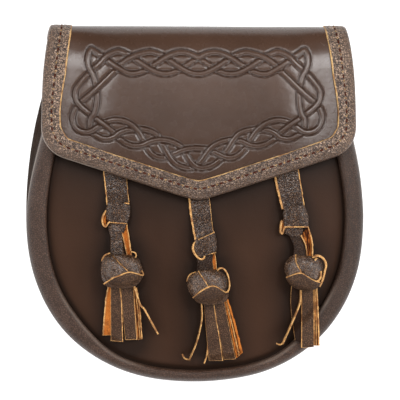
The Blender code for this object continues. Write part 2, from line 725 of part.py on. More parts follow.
def build_stud(material):
    """The hidden press stud between the front panel and the flap, plain."""
    low = float(panel_z(0.0, STUD_Y - STUD_RADIUS)) + GAP
    high = float(flap_front_z(STUD_Y + STUD_RADIUS)) - PANEL_WALL / 2 - GAP
    bm = bmesh.new()
    bmesh.ops.create_cone(bm, cap_ends=True, segments=24, radius1=STUD_RADIUS, radius2=STUD_RADIUS, depth=high - low)
    bmesh.ops.translate(bm, vec=(FLAP_CENTRE_X, STUD_Y, (low + high) / 2), verts=bm.verts)
    return add_object("closure_stud", bm, material)


def main():
    clear_scene()
    smooth = finish("smooth_leather", BROWN, 0.38)
    grained = finish("grained_leather", GRAIN_BROWN, 0.5)
    build_gusset(grained)
    build_front_panel(smooth)
    build_back_and_flap(smooth)
    build_binding(grained)
    for name, sizes in HANGERS.items():
        build_hanger(name, sizes, grained)
        build_tassel(name, KNOTS[name], STRIPS[name], sizes, grained)
    build_belt_loop("left", -LOOP_X, smooth)
    build_belt_loop("right", LOOP_X, smooth)
    build_stud(finish("stud_metal", STUD_BRASS, 0.35, 1.0))


main()
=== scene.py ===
import math

import bmesh
import bpy
import numpy as np
from mathutils import Matrix, Vector


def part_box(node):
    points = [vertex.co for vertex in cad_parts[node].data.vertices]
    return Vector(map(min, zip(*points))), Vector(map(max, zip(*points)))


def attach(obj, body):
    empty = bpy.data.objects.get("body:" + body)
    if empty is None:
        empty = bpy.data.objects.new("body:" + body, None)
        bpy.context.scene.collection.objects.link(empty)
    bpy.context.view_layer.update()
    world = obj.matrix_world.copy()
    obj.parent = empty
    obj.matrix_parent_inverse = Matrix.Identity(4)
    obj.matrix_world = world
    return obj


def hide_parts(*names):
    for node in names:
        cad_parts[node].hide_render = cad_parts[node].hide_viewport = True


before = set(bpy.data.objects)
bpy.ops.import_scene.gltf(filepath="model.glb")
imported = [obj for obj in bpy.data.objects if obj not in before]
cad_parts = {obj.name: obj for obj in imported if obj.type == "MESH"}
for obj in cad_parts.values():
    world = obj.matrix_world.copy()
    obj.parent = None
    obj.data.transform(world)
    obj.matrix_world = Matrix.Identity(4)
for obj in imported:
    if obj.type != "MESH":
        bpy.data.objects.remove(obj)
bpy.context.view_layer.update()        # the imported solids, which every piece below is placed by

mm = 0.001  # all sizes below are in millimetres, and meshes are in metres
print("frame loaded:", len(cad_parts), "nodes")


def cadBox(node):
    low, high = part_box(node)
    return np.array(low) / mm, np.array(high) / mm


gussetLow, gussetHigh = cadBox("gusset")


# numbers and lines

def smoothStep(low, high, x):
    # 0 below low, 1 above high, 3t^2 - 2t^3 between them
    t = np.clip((np.asarray(x, float) - low) / (high - low), 0.0, 1.0)
    return t * t * (3.0 - 2.0 * t)


def bell(x, middle, size):
    # 1 at the middle, 1 / e at this distance from it
    return np.exp(-(((x - middle) / size) ** 2))


def unit(v):
    return v / np.maximum(np.linalg.norm(v, axis=-1, keepdims=True), 1e-12)


def runAlong(points):
    # how far each point lies along the broken line through them
    return np.append(0.0, np.cumsum(np.linalg.norm(np.diff(points, axis=0), axis=1)))


def pointsAt(line, run, at):
    # the line's values where its run reaches each number of at
    return np.column_stack([np.interp(at, run, column) for column in line.T])


def evenly(points, count):
    points = np.asarray(points, float)
    run = runAlong(points)
    return pointsAt(points, run, np.linspace(0.0, run[-1], count))


def smoothLine(points, count, closed=False):
    # between neighbours b and c, with a before and d after, the cubic that leaves b along (c - a) / 2
    # and reaches c along (d - b) / 2
    p = np.asarray(points, float)
    p = np.vstack([p[-1], p, p[:2]]) if closed else np.vstack([2 * p[0] - p[1], p, 2 * p[-1] - p[-2]])
    s = np.linspace(0.0, len(p) - 3 - 1e-9, 16 * len(p))
    i = s.astype(int)
    t = (s - i)[:, None]
    a, b, c, d = p[i], p[i + 1], p[i + 2], p[i + 3]
    line = b + 0.5 * t * (c - a + t * (2 * a - 5 * b + 4 * c - d + t * (3 * (b - c) + d - a)))
    return evenly(line, count)


def hashed(cell, seed):
    # a repeatable number from 0 to 1 for each whole-numbered cell
    n = np.sin(cell @ np.array((127.1, 311.7, 74.7)) + seed * 19.19) * 43758.5453
    return n - np.floor(n)


def softNoise(points, size, seed):
    # random values at the corners of cubes of the given size, blended smoothly between them, about 0
    p = points / size
    cell = np.floor(p)
    t = p - cell
    t = t * t * (3.0 - 2.0 * t)
    total = 0.0
    for corner in np.ndindex(2, 2, 2):
        weight = np.prod(np.where(corner, t, 1.0 - t), axis=-1)
        total = total + weight * hashed(cell + corner, seed)
    return total - 0.5


def pebbles(points, size, seed):
    # distance to the second nearest of scattered points less that to the nearest, made to run from -0.5 in
    # the creases between the pebbles to 0.5 on them
    p = (points / size).reshape(-1, 3)
    cell = np.floor(p)
    near = np.full(len(p), np.inf)
    second = near
    for offset in np.ndindex(3, 3, 3):
        corner = cell + offset - 1.0
        at = corner + np.stack([hashed(corner, seed + k) for k in (1, 2, 3)], axis=-1)
        reach = np.linalg.norm(p - at, axis=-1)
        second = np.minimum(second, np.maximum(near, reach))
        near = np.minimum(near, reach)
    return np.clip(second - near, 0.0, 0.5).reshape(points.shape[:-1]) * 2.0 - 0.5


# meshes

def gridFaces(rows, columns, wrap=False, first=0):
    # corner numbers of the quads between rows and columns. wrap joins the last column to the first
    i = np.arange(rows - 1)[:, None]
    j = np.arange(columns if wrap else columns - 1)[None, :]
    after = (j + 1) % columns
    corners = [i * columns + j, i * columns + after, (i + 1) * columns + after, (i + 1) * columns + j]
    return first + np.stack(np.broadcast_arrays(*corners), axis=-1).reshape(-1, 4)


def tubeFaces(rings, sides):
    # a wrapped grid with a cap on its first and its last ring
    caps = [list(range(sides)), list(range((rings - 1) * sides, rings * sides))]
    return gridFaces(rings, sides, wrap=True).tolist() + caps


def gridNormals(grid):
    # cross product of the two directions of a grid of points
    return unit(np.cross(np.gradient(grid, axis=0), np.gradient(grid, axis=1)))


def makePiece(name, points, faces, looks, node=None, lookOf=None):
    # a mesh piece that rides on the pouch and stands for the CAD node, smooth where it bends by less than
    # sharpAngle
    sharpAngle = math.radians(50)
    mesh = bpy.data.meshes.new(name)
    mesh.from_pydata((points.reshape(-1, 3) * mm).tolist(), [], faces)
    for look in looks:
        mesh.materials.append(look)
    if lookOf is not None:
        mesh.polygons.foreach_set("material_index", np.asarray(lookOf, np.int32))
    mesh.shade_smooth()
    turnOutwards(mesh)
    mesh.set_sharp_from_angle(angle=sharpAngle)
    piece = bpy.data.objects.new(name, mesh)
    bpy.context.scene.collection.objects.link(piece)
    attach(piece, "root")
    if node:
        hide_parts(node)
    return piece


def turnOutwards(mesh):
    bm = bmesh.new()
    bm.from_mesh(mesh)
    bmesh.ops.recalc_face_normals(bm, faces=bm.faces)
    bm.to_mesh(mesh)
    bm.free()


def mark(piece, name, values):
    # a number for each vertex that a look reads by this name, 0 for the vertices after the given ones
    numbers = np.zeros(len(piece.data.vertices), np.float32)
    numbers[:values.size] = values.ravel()
    piece.data.attributes.new(name, "FLOAT", "POINT").data.foreach_set("value", numbers)


def edgeLoop(rows, columns):
    # grid numbers once round the edge of a grid
    number = np.arange(rows * columns).reshape(rows, columns)
    return np.concatenate([number[0, :-1], number[:-1, -1], number[-1, :0:-1], number[:0:-1, 0]])


def thickSheet(name, outer, base, wall, step, look, node):
    # a closed sheet: outer is its fine face, and its hidden face lies wall behind base with every step-th
    # row and column of it
    inner = (base - gridNormals(base) * wall)[::step, ::step]
    first = outer.shape[0] * outer.shape[1]
    fine = edgeLoop(*outer.shape[:2])
    coarse = edgeLoop(*inner.shape[:2]) + first
    rim = []
    for k, corner in enumerate(coarse):
        line = fine[np.arange(k * step, k * step + step + 1) % len(fine)]
        rim.append([int(corner), int(coarse[(k + 1) % len(coarse)])] + line[::-1].tolist())
    faces = gridFaces(*outer.shape[:2]).tolist() + gridFaces(*inner.shape[:2], first=first).tolist() + rim
    points = np.vstack([outer.reshape(-1, 3), inner.reshape(-1, 3)])
    return makePiece(name, points, faces, [look], node)


def carried(name, rings, looks, node, lookOf):
    # a closed section carried along a path, with caps. rings: stations x section points, lookOf: the look of
    # each face round the section
    stations, around = rings.shape[:2]
    lookOf = np.append(np.tile(lookOf, stations - 1), [lookOf[0]] * 2)
    return makePiece(name, rings, tubeFaces(stations, around), looks, node, lookOf)


# camera, which turns the places measured in the picture into millimetres

view = dict(
    distance=1600.0, turn=4.0, aim=(2.8, 1.7, 20.0), lens=253.0, sensor=36.0,
    pictureMiddle=(195.0, 203.0), pixel=0.5618,
)


def fromPicture(across, down, z):
    # the point at height z that the picture shows at this pixel: the ray through it, cut at that height
    flatX = (across - view["pictureMiddle"][0]) * view["pixel"]
    flatY = (view["pictureMiddle"][1] - down) * view["pixel"]
    nearer = (view["distance"] - z) / (view["distance"] - view["aim"][2])
    x = view["aim"][0] + (flatX - view["aim"][0]) * nearer
    x = x - (z - view["aim"][2]) * math.tan(math.radians(view["turn"]))
    y = view["aim"][1] + (flatY - view["aim"][1]) * nearer
    return np.stack([x, y, z + 0.0 * x], axis=-1)


def onSurface(pixels, height, rounds=4):
    # the same for pixels on a surface whose height is a function of x and y
    across, down = pixels[..., 0], pixels[..., 1]
    points = fromPicture(across, down, view["aim"][2])
    for _ in range(rounds):
        points = fromPicture(across, down, height(points[..., 0], points[..., 1]))
    return points


def addCamera():
    data = bpy.data.cameras.new("camera")
    data.lens = view["lens"]
    data.sensor_width = view["sensor"]
    camera = bpy.data.objects.new("camera", data)
    turn = math.radians(view["turn"])
    x, y, z = view["aim"]
    reach = view["distance"] - z
    camera.location = ((x - reach * math.tan(turn)) * mm, y * mm, view["distance"] * mm)
    camera.rotation_euler = (0.0, -turn, 0.0)
    bpy.context.scene.collection.objects.link(camera)
    bpy.context.scene.camera = camera


# materials

class Value:
    # a shader socket in a sum: every operator adds its Math node

    def __init__(self, look, socket):
        self.look = look
        self.socket = socket

    def math(self, operation, *values):
        return self.look.node("ShaderNodeMath", {"operation": operation}, dict(enumerate(values)))

    def __add__(self, other):
        return self.math("ADD", self, other)

    def __mul__(self, other):
        return self.math("MULTIPLY", self, other)

    def __rsub__(self, other):
        return self.math("SUBTRACT", other, self)

    __radd__ = __add__

    def between(self, low, high):
        # 0 at low and 1 at high, smooth between them
        settings = {"interpolation_type": "SMOOTHSTEP"}
        inputs = {"Value": self, "From Min": low, "From Max": high}
        return self.look.node("ShaderNodeMapRange", settings, inputs)


class Look:
    # a Principled material and the few calls that build its nodes

    def __init__(self, name, colour, roughness, metallic=0.0, gloss=0.5):
        self.material = bpy.data.materials.new(name)
        self.material.use_nodes = True
        self.tree = self.material.node_tree
        self.shader = self.tree.nodes["Principled BSDF"]
        self.shader.inputs["Base Color"].default_value = (*colour, 1.0)
        self.shader.inputs["Roughness"].default_value = roughness
        self.shader.inputs["Metallic"].default_value = metallic
        self.shader.inputs["Specular IOR Level"].default_value = gloss
        self.place = self.node("ShaderNodeTexCoord", {}, {}, "Object")

    def node(self, kind, settings, inputs, output=0):
        made = self.tree.nodes.new(kind)
        for name, value in settings.items():
            setattr(made, name, value)
        for name, value in inputs.items():
            self.link(made.inputs[name], value)
        return Value(self, made.outputs[output])

    def link(self, socket, value):
        if isinstance(value, Value):
            self.tree.links.new(value.socket, socket)
        else:
            socket.default_value = value

    def marked(self, name):
        return self.node("ShaderNodeAttribute", {"attribute_name": name}, {}, "Fac")

    def noise(self, size, detail=2.0, roughness=0.5, stretch=None):
        # soft noise with features of about this size in millimetres
        place = self.place
        if stretch:
            place = self.node("ShaderNodeMapping", {}, {"Vector": place, "Scale": stretch})
        inputs = {"Vector": place, "Scale": 1.0 / (size * mm), "Detail": detail, "Roughness": roughness}
        return self.node("ShaderNodeTexNoise", {}, inputs)

    def creases(self, size, full):
        # cells of this size: 0 on the lines between them, 1 beyond full
        inputs = {"Vector": self.place, "Scale": 1.0 / (size * mm)}
        return self.node("ShaderNodeTexVoronoi", {"feature": "DISTANCE_TO_EDGE"}, inputs).between(*full)

    def blend(self, share, first, second):
        # first where share is 0, second where it is 1. A colour is red, green and blue
        first, second = (c if isinstance(c, Value) else (*c, 1.0) for c in (first, second))
        inputs = {0: share, 6: first, 7: second}
        return self.node("ShaderNodeMix", {"data_type": "RGBA", "clamp_factor": True}, inputs, 2)

    def bump(self, height, depth, before=None):
        inputs = {"Height": height, "Distance": depth * mm, "Strength": 1.0}
        if before:
            inputs["Normal"] = before
        return self.node("ShaderNodeBump", {}, inputs)

    def finish(self, colour, roughness=None, normal=None):
        for name, value in (("Base Color", colour), ("Roughness", roughness), ("Normal", normal)):
            if value is not None:
                self.link(self.shader.inputs[name], value)
        return self.material


def smoothLeather():
    # close-grained leather: fine pores, an uneven tone, painted shade in the grooves and painted shade on the
    # lower part
    look = Look("smooth_leather", (0.052, 0.027, 0.017), 0.30, gloss=0.42)
    lightFrom, darkFrom = 0.074, 0.040  # metres up the pouch
    cloud = look.noise(26.0, 3.0)
    pores = look.noise(0.55, 2.0, 0.6)
    tone = look.blend(cloud.between(0.3, 0.72), (0.045, 0.0225, 0.0138), (0.056, 0.029, 0.0184))
    colour = look.blend(pores.between(0.62, 0.30) * 0.35, tone, (0.030, 0.016, 0.010))
    # painted shade: the embossed grooves darkened by the groove mark
    groove = look.marked("groove")
    colour = look.blend(groove * 0.75, colour, (0.016, 0.007, 0.004))
    # painted shade: darker towards the lower part of the flap
    height = look.node("ShaderNodeSeparateXYZ", {}, {"Vector": look.place}, 1)
    colour = look.blend(height.between(lightFrom, darkFrom) * 0.40, colour, (0.022, 0.009, 0.004))
    wrinkles = look.bump(look.noise(2.6, 3.0, 0.55), 0.06)
    fine = look.bump(pores, 0.025, wrinkles)
    return look.finish(colour, 0.235 + look.noise(5.0) * 0.07 + groove * 0.2, fine)


def panelLeather():
    # the front panel's leather: smoother than the flap's, and painted darker than it as shade for its
    # recessed place under the flap, with long soft bands of tone
    look = Look("panel_leather", (0.031, 0.014, 0.008), 0.5, gloss=0.07)
    bands = look.noise(60.0, 2.0, 0.5, (1.9, 0.7, 1.0))
    pores = look.noise(0.6, 2.0, 0.6)
    tone = look.blend(bands.between(0.35, 0.68), (0.030, 0.0130, 0.0068), (0.037, 0.0167, 0.0091))
    # painted shadow: darker beside the flap, the tassels and in the crease by the rim
    tone = look.blend(look.marked("painted_shadow"), tone, (0.008, 0.0045, 0.003))
    fine = look.bump(pores, 0.035, look.bump(look.noise(3.5, 3.0), 0.10))
    return look.finish(tone, 0.42 + look.noise(7.0) * 0.14, fine)


def paintedShadeAndHighlight(look, colour, shade, painted_highlight):
    # what the two marks add: painted shade where the shade mark lies and a painted highlight where the
    # highlight mark lies
    dark, light = look.marked("shade"), look.marked("painted_highlight")
    return look.blend(light, look.blend(dark, colour, shade), painted_highlight)


def grainedLeather(name, dark, light, size, specks, gloss, roughness, relief=0.30, patches=9.0, marks=False):
    # pebble-grained leather: dark creases, lighter rubbed tops and a few tan specks
    look = Look(name, light, 0.45, gloss=gloss)
    tops = look.creases(size, (0.02, 0.28))
    cloud = look.noise(patches, 3.0, 0.6)
    rubbed = look.noise(0.9, 3.0, 0.6)
    base = look.blend(cloud.between(0.3, 0.7), dark, light)
    colour = look.blend((1 - tops) * 0.8, base, (0.012, 0.006, 0.004))
    colour = look.blend(rubbed.between(0.56, 0.70) * specks, colour, (0.26, 0.15, 0.08))
    # with marks: painted shade and painted highlights from the piece's marks
    if marks:
        colour = paintedShadeAndHighlight(look, colour, (0.010, 0.006, 0.004), (0.25, 0.20, 0.165))
    fine = look.bump(rubbed, 0.08, look.bump(tops, relief))
    return look.finish(colour, roughness + rubbed * 0.20, fine)


def bindingLeather():
    # the binding's leather, rubbed hardest: dark creases, tan and reddish specks and pale scuffs
    look = Look("binding_leather", (0.095, 0.055, 0.036), 0.45, gloss=0.38)
    creases = look.creases(1.25, (0.0, 0.22))
    mottle = look.noise(1.0, 3.0, 0.75)
    fleck = look.noise(0.75, 3.0, 0.65)
    inner = look.marked("inner")
    cloud = look.noise(11.0, 2.0)
    base = look.blend(cloud.between(0.3, 0.7), (0.090, 0.049, 0.029), (0.135, 0.081, 0.052))
    colour = look.blend(mottle.between(0.51, 0.57) * inner * 0.9, base, (0.390, 0.270, 0.195))
    colour = look.blend(mottle.between(0.50, 0.44) * inner * 0.97, colour, (0.016, 0.008, 0.006))
    colour = look.blend(fleck.between(0.59, 0.67) * inner * 0.9, colour, (0.52, 0.34, 0.20))
    colour = look.blend((1 - creases) * 0.7, colour, (0.018, 0.010, 0.007))
    # painted shade on its lower part and a painted highlight on the left corner
    colour = paintedShadeAndHighlight(look, colour, (0.030, 0.014, 0.008), (0.36, 0.30, 0.25))
    fine = look.bump(fleck, 0.14, look.bump(creases, 0.24))
    return look.finish(colour, 0.26 + fleck * 0.2, fine)


def cutEdge(name, pale, dark):
    # raw cut leather: tan fibres with darker dye in places
    look = Look(name, pale, 0.75, gloss=0.2)
    fibre = look.noise(0.8, 4.0, 0.7)
    patch = look.noise(3.4, 3.0)
    colour = look.blend(fibre.between(0.35, 0.65), pale, dark)
    colour = look.blend(patch.between(0.46, 0.64) * 0.8, colour, (0.17, 0.066, 0.022))
    return look.finish(colour, None, look.bump(fibre, 0.12))


def fleshSide():
    # the undyed orange suede side
    look = Look("flesh_side", (0.33, 0.10, 0.018), 0.9, gloss=0.15)
    nap = look.noise(0.5, 4.0, 0.7)
    patch = look.noise(4.0, 3.0)
    colour = look.blend(nap.between(0.35, 0.65), (0.43, 0.140, 0.022), (0.27, 0.075, 0.012))
    colour = look.blend(patch.between(0.50, 0.70) * 0.6, colour, (0.11, 0.030, 0.007))
    return look.finish(colour, None, look.bump(nap, 0.15))


def deepFlesh():
    # painted shade: the flesh side, painted darker where it lies deep between two edges
    look = Look("shaded_flesh_slot", (0.09, 0.022, 0.006), 0.9, gloss=0.05)
    streaks = look.noise(0.9, 3.0, 0.6, (1.0, 0.12, 1.0))
    return look.finish(look.blend(streaks.between(0.47, 0.62), (0.034, 0.009, 0.004), (0.36, 0.115, 0.022)))


def threadLook():
    # waxed twisted thread
    look = Look("thread", (0.07, 0.016, 0.009), 0.7, gloss=0.05)
    twist = look.noise(0.35, 2.0)
    colour = look.blend(twist.between(0.35, 0.65), (0.066, 0.016, 0.008), (0.026, 0.008, 0.005))
    return look.finish(colour, None, look.bump(twist, 0.08))


def holeLook():
    # painted shade: a near-black dot standing for the shade inside each stitch hole
    look = Look("stitch_hole", (0.012, 0.007, 0.005), 0.9)
    return look.finish(look.blend(look.noise(0.4), (0.018, 0.010, 0.007), (0.008, 0.005, 0.004)))


def studLook():
    # old brass with fine scratches
    look = Look("stud_metal", (0.45, 0.30, 0.13), 0.35, 1.0)
    stain = look.noise(1.8, 4.0)
    colour = look.blend(stain.between(0.4, 0.7), (0.47, 0.32, 0.14), (0.24, 0.15, 0.06))
    return look.finish(colour, 0.26 + stain * 0.25, look.bump(look.noise(0.3), 0.02))


def floorLook():
    # white paper, lit a little from below as on a light table
    look = Look("floor", (0.90, 0.90, 0.90), 0.85)
    look.shader.inputs["Emission Color"].default_value = (1.0, 1.0, 1.0, 1.0)
    look.shader.inputs["Emission Strength"].default_value = studio["floorGlow"]
    return look.finish(look.blend(look.noise(900.0), (0.56, 0.56, 0.56), (0.53, 0.53, 0.53)))


smooth = smoothLeather()
panelSkin = panelLeather()
# dark and light tone, size of the grain, share of specks, gloss, roughness, relief and size of the patches
grained = grainedLeather("grained_leather", (0.024, 0.011, 0.006), (0.100, 0.054, 0.031),
                         1.35, 0.40, 0.36, 0.20, 0.45, 1.8)
# the rim's look takes the painted shade and painted highlights of the gusset's marks
rimSkin = grainedLeather("rim_leather", (0.055, 0.028, 0.0175), (0.077, 0.042, 0.028),
                         1.1, 0.10, 0.20, 0.36, 0.10, marks=True)
knotSkin = grainedLeather("knot_leather", (0.040, 0.019, 0.010), (0.126, 0.068, 0.037),
                          1.1, 0.14, 0.40, 0.16, 0.12, 2.2)
# painted shade: a darker, duller copy of the knot leather for the knots' lower turns, which catch no sheen
dullSkin = grainedLeather("shaded_dull_leather", (0.044, 0.021, 0.011), (0.082, 0.043, 0.023),
                          1.1, 0.14, 0.12, 0.34, 0.12)
fringeSkin = grainedLeather("fringe_leather", (0.062, 0.031, 0.017), (0.090, 0.048, 0.027),
                            1.0, 0.15, 0.10, 0.36, 0.12)
# painted shade: a darker, duller copy of the rim's leather for the gusset's side wall
wallSkin = grainedLeather("shaded_wall_leather", (0.022, 0.013, 0.008), (0.034, 0.021, 0.014),
                          1.1, 0.05, 0.03, 0.60, 0.12)
# painted shade: a darker copy of the strap leather for the links, which lie in the wraps' shade
neckSkin = grainedLeather("shaded_neck_leather", (0.018, 0.009, 0.005), (0.040, 0.021, 0.013),
                          1.2, 0.15, 0.12, 0.28)
shadedSkin = grainedLeather("shaded_leather", (0.012, 0.006, 0.004), (0.020, 0.010, 0.006),
                            1.0, 0.05, 0.05, 0.50, 0.10)
bindingSkin = bindingLeather()
rawEdge = cutEdge("cut_edge", (0.54, 0.36, 0.170), (0.31, 0.165, 0.058))
tasselEdge = cutEdge("tassel_edge", (0.54, 0.31, 0.120), (0.325, 0.155, 0.048))
flesh = fleshSide()
deepSkin = deepFlesh()
thread = threadLook()
holeSkin = holeLook()
print("materials made")


# the pouch's outline and heights, the same formulas as its solids

pouch = dict(
    halfWidth=(gussetHigh[0] - gussetLow[0]) / 2, bottomY=gussetLow[1], mouthY=gussetHigh[1],
    waistY=-6.7, roundness=2.27, sideReach=157.0, frontPull=8.0, pullPower=1.3,
    rimTopBottom=gussetHigh[2], rimTopMouth=30.5, rimRise=5.5, dome=8.2, domeTopReach=100.0, domePower=0.85,
    rimWide=11.2, rimNarrow=6.8, narrowFrom=80.0, narrowTo=42.0, backFaceZ=6.8,
    # where the rim's height fades out inside it, and how high above the rim what lies over it stays
    rimFoot=(0.5, 5.0), rimClear=0.3,
)
drop = pouch["waistY"] - pouch["bottomY"]


def sideHalfWidth(y):
    # an ellipse above the waist
    rise = np.clip((y - pouch["waistY"]) / pouch["sideReach"], 0.0, 1.0)
    return pouch["halfWidth"] * np.sqrt(1.0 - rise**2)


def lowHalfWidth(y):
    # a superellipse below the waist
    fall = np.clip((pouch["waistY"] - y) / drop, 0.0, 1.0)
    return pouch["halfWidth"] * (1.0 - fall ** pouch["roundness"]) ** (1.0 / pouch["roundness"])


def pouchOutline(count):
    # from the right end of the mouth round the bottom to the left end, with the outward directions
    sideY = np.linspace(pouch["mouthY"], pouch["waistY"], 200)
    turn = np.linspace(0.0, math.pi / 2, 600)[1:]
    power = 2.0 / pouch["roundness"]
    lowX = pouch["halfWidth"] * np.cos(turn).clip(0.0) ** power
    lowY = pouch["waistY"] - drop * np.sin(turn) ** power
    right = np.column_stack([np.append(sideHalfWidth(sideY), lowX), np.append(sideY, lowY)])
    points = evenly(np.vstack([right, right[-2::-1] * (-1.0, 1.0)]), count)
    ahead = np.gradient(points, axis=0)
    return points, unit(np.column_stack([-ahead[:, 1], ahead[:, 0]]))


def rimWidth(x):
    wide = smoothStep(pouch["narrowTo"], pouch["narrowFrom"], np.abs(x))
    return pouch["rimNarrow"] + (pouch["rimWide"] - pouch["rimNarrow"]) * wide


def frontPull(y):
    # how far the front edge lies inside the back outline
    rise = np.clip((y - pouch["waistY"]) / (pouch["mouthY"] - pouch["waistY"]), 0.0, 1.0)
    return pouch["frontPull"] * rise ** pouch["pullPower"]


def rimTop(y):
    share = (y - pouch["bottomY"]) / (pouch["mouthY"] - pouch["bottomY"])
    return pouch["rimTopBottom"] + (pouch["rimTopMouth"] - pouch["rimTopBottom"]) * share


def panelZ(x, y):
    # level at its seam and domed inside it: 1 less the two shares to the power of the roundness
    reach = np.where(y < pouch["waistY"], drop - pouch["rimNarrow"], pouch["domeTopReach"])
    across = np.abs(x) / (pouch["halfWidth"] - pouch["rimWide"])
    along = np.abs(y - pouch["waistY"]) / reach
    inside = np.clip(1.0 - across ** pouch["roundness"] - along ** pouch["roundness"], 0.0, 1.0)
    return rimTop(y) - pouch["rimRise"] + pouch["dome"] * inside ** pouch["domePower"]


def frontZ(x, y):
    # top of the front at x, y: the panel, or the rolled edge round it
    sideDepth = sideHalfWidth(y) - np.abs(x)
    size = (np.abs(x) / pouch["halfWidth"]) ** pouch["roundness"]
    size = size + (np.clip(pouch["waistY"] - y, 0.0, None) / drop) ** pouch["roundness"]
    beyond = np.maximum(size, 1e-9) ** (-1.0 / pouch["roundness"]) - 1.0
    lowDepth = np.hypot(x, y - pouch["waistY"]) * beyond
    depth = np.where(y >= pouch["waistY"], sideDepth, lowDepth) - pouch["rimWide"]
    overRim = 1.0 - smoothStep(*pouch["rimFoot"], depth)
    panel = panelZ(x, y)
    return panel + overRim * np.maximum(rimTop(y) + pouch["rimClear"] - panel, 0.0)


# gusset: one strip rolled over the front and the back edge

gusset = dict(
    stations=620, sectionPoints=74, wall=1.8, lipRadius=2.5, roundShare=0.63, roundDown=9.0, fall=0.5,
    sideWaist=1.3, backRoundAcross=5.0, backRoundUp=7.5, backLand=3.0, backLip=2.2, seamGap=0.6,
    pullFrom=0.25,  # share of the rim's height that the front starts to be drawn in at
    # the front roll narrows up the left side, above a share of its height
    narrowing=2.4, narrowY=(-8.0, 42.0), narrowHigh=(0.40, 0.72),
    # soft unevenness along the roll, above the back edge
    unevenness=0.35, unevenSize=19.0, unevenStretch=(1.0, 1.0, 0.45), unevenHigh=(9.0, 16.0),
    # the wall's own look, a darker copy of the rim's leather as painted shade: below the roll and above the
    # back edge, as the section at this height has it
    wallAtY=40.0, wallBelow=-0.5, wallAbove=5.0, wallOutside=-4.0,
    # marks, painted shade: dark wall up the sides and darker sides, more on the right
    upperY=(-22.0, 12.0), outsideShare=0.8, wallShade=0.60, wallBlur=0.6,
    sideY=(-88.0, -62.0), sideShade=0.10, rightShade=0.22, rightX=(-20.0, 60.0),
    # and painted highlights: light lines at the wall's top and on the lip at the bottom
    highlightHigh=1.5, highlightSize=1.1, painted_highlight=0.60,
    lowerY=(-40.0, -62.0), lipAt=1.1, lipSize=0.75, lipHigh=4.0, lipHighlight=0.24, lipX=(24.0, 44.0),
)


def arc(centreX, centreZ, across, up, start, end, count):
    # points of an elliptical arc for every station, angles in degrees
    angle = np.radians(np.linspace(start, end, count))
    x, z = centreX[:, None] + across * np.cos(angle), centreZ[:, None] + up * np.sin(angle)
    return np.stack([x, z], axis=-1)


def gussetSection(width, top, seam):
    # outer face for every station, from the front lip over the rolled edge and round to the back lip, as x
    # outwards from the outline and z
    g = gusset
    one = np.ones_like(width)
    across = g["roundShare"] * width
    shoulder = top - g["fall"] - g["roundDown"]
    start = np.stack([-width, seam + g["seamGap"]], axis=-1)[:, None]
    lip = arc(-width + g["lipRadius"], top - g["lipRadius"], g["lipRadius"], g["lipRadius"], 180, 84, 9)
    roll = arc(-across, shoulder, across[:, None], g["roundDown"], 72, 0, 16)
    waist = np.stack([-g["sideWaist"] * one, 0.5 * (shoulder + g["backRoundUp"])], axis=-1)[:, None]
    backX = -g["backRoundAcross"] * one
    back = arc(backX, g["backRoundUp"] * one, g["backRoundAcross"], g["backRoundUp"], 0, -90, 12)
    lipX = backX - g["backLand"]
    backLip = arc(lipX, g["backLip"] * one, g["backLip"], g["backLip"], -90, -180, 6)
    end = np.stack([lipX - g["backLip"], (pouch["backFaceZ"] - g["seamGap"]) * one], axis=-1)[:, None]
    return np.concatenate([start, lip, roll, waist, back, backLip, end], axis=1)


def gussetMarks(piece, points, width, across, high):
    # painted shade and painted highlight of every point. across: from the outline outwards, high: above the
    # foot of the front roll
    g = gusset
    x, y = points.T[..., None]
    outside = across > -g["outsideShare"] * g["roundShare"] * width[:, None]
    upper = smoothStep(*g["upperY"], y) * outside
    sides = smoothStep(*g["sideY"], y) * (g["sideShade"] + g["rightShade"] * smoothStep(*g["rightX"], x))
    wall = upper * smoothStep(g["wallBlur"], -g["wallBlur"], high)
    mark(piece, "shade", np.maximum(g["wallShade"] * wall, sides))
    lip = bell(across + width[:, None], g["lipAt"], g["lipSize"]) * (high > g["lipHigh"])
    lip = lip * smoothStep(*g["lowerY"], y) * smoothStep(*g["lipX"], np.abs(x))
    line = upper * bell(high, g["highlightHigh"], g["highlightSize"])
    mark(piece, "painted_highlight", np.maximum(g["painted_highlight"] * line, g["lipHighlight"] * lip))


def buildGusset():
    g = gusset
    points, out = pouchOutline(g["stations"])
    x, y = points.T
    top, pull, width = rimTop(y), frontPull(y), rimWidth(x)
    inner = points - out * (width + pull)[:, None]
    section = gussetSection(width, top, panelZ(*inner.T))
    section = np.array([evenly(line, g["sectionPoints"]) for line in section])
    ahead = np.gradient(section, axis=1)
    normal = unit(np.stack([-ahead[..., 1], ahead[..., 0]], axis=-1))
    ring = np.concatenate([section, (section - normal * g["wall"])[:, ::-2]], axis=1)
    share = ring[..., 1] / top[:, None]
    pulled = ring[..., 0] - pull[:, None] * smoothStep(g["pullFrom"], 1.0, share)
    narrow = g["narrowing"] * (smoothStep(*g["narrowY"], y) * (x < 0.0))[:, None]
    pulled -= narrow * (1.0 + ring[..., 0] / width[:, None]) * smoothStep(*g["narrowHigh"], share)
    flat = points[:, None, :] + out[:, None, :] * pulled[..., None]
    rings = np.concatenate([flat, ring[..., 1:]], axis=-1)
    rolls = g["unevenness"] * softNoise(rings * g["unevenStretch"], g["unevenSize"], 5)
    rings[..., :2] += out[:, None, :] * (rolls * smoothStep(*g["unevenHigh"], rings[..., 2]))[..., None]
    high = rings[..., 2] - (top - g["fall"] - g["roundDown"])[:, None]
    side = int(np.abs(y - g["wallAtY"]).argmin())
    onWall = (high[side] < g["wallBelow"]) & (rings[side, :, 2] > g["wallAbove"])
    onWall &= ring[side, :, 0] > g["wallOutside"]
    # the wall's darker look is painted shade
    looks = [rimSkin, wallSkin]
    piece = carried("pouch_gusset", rings, looks, "gusset", onWall.astype(int))
    gussetMarks(piece, points, width, ring[..., 0], high)


buildGusset()


# front panel

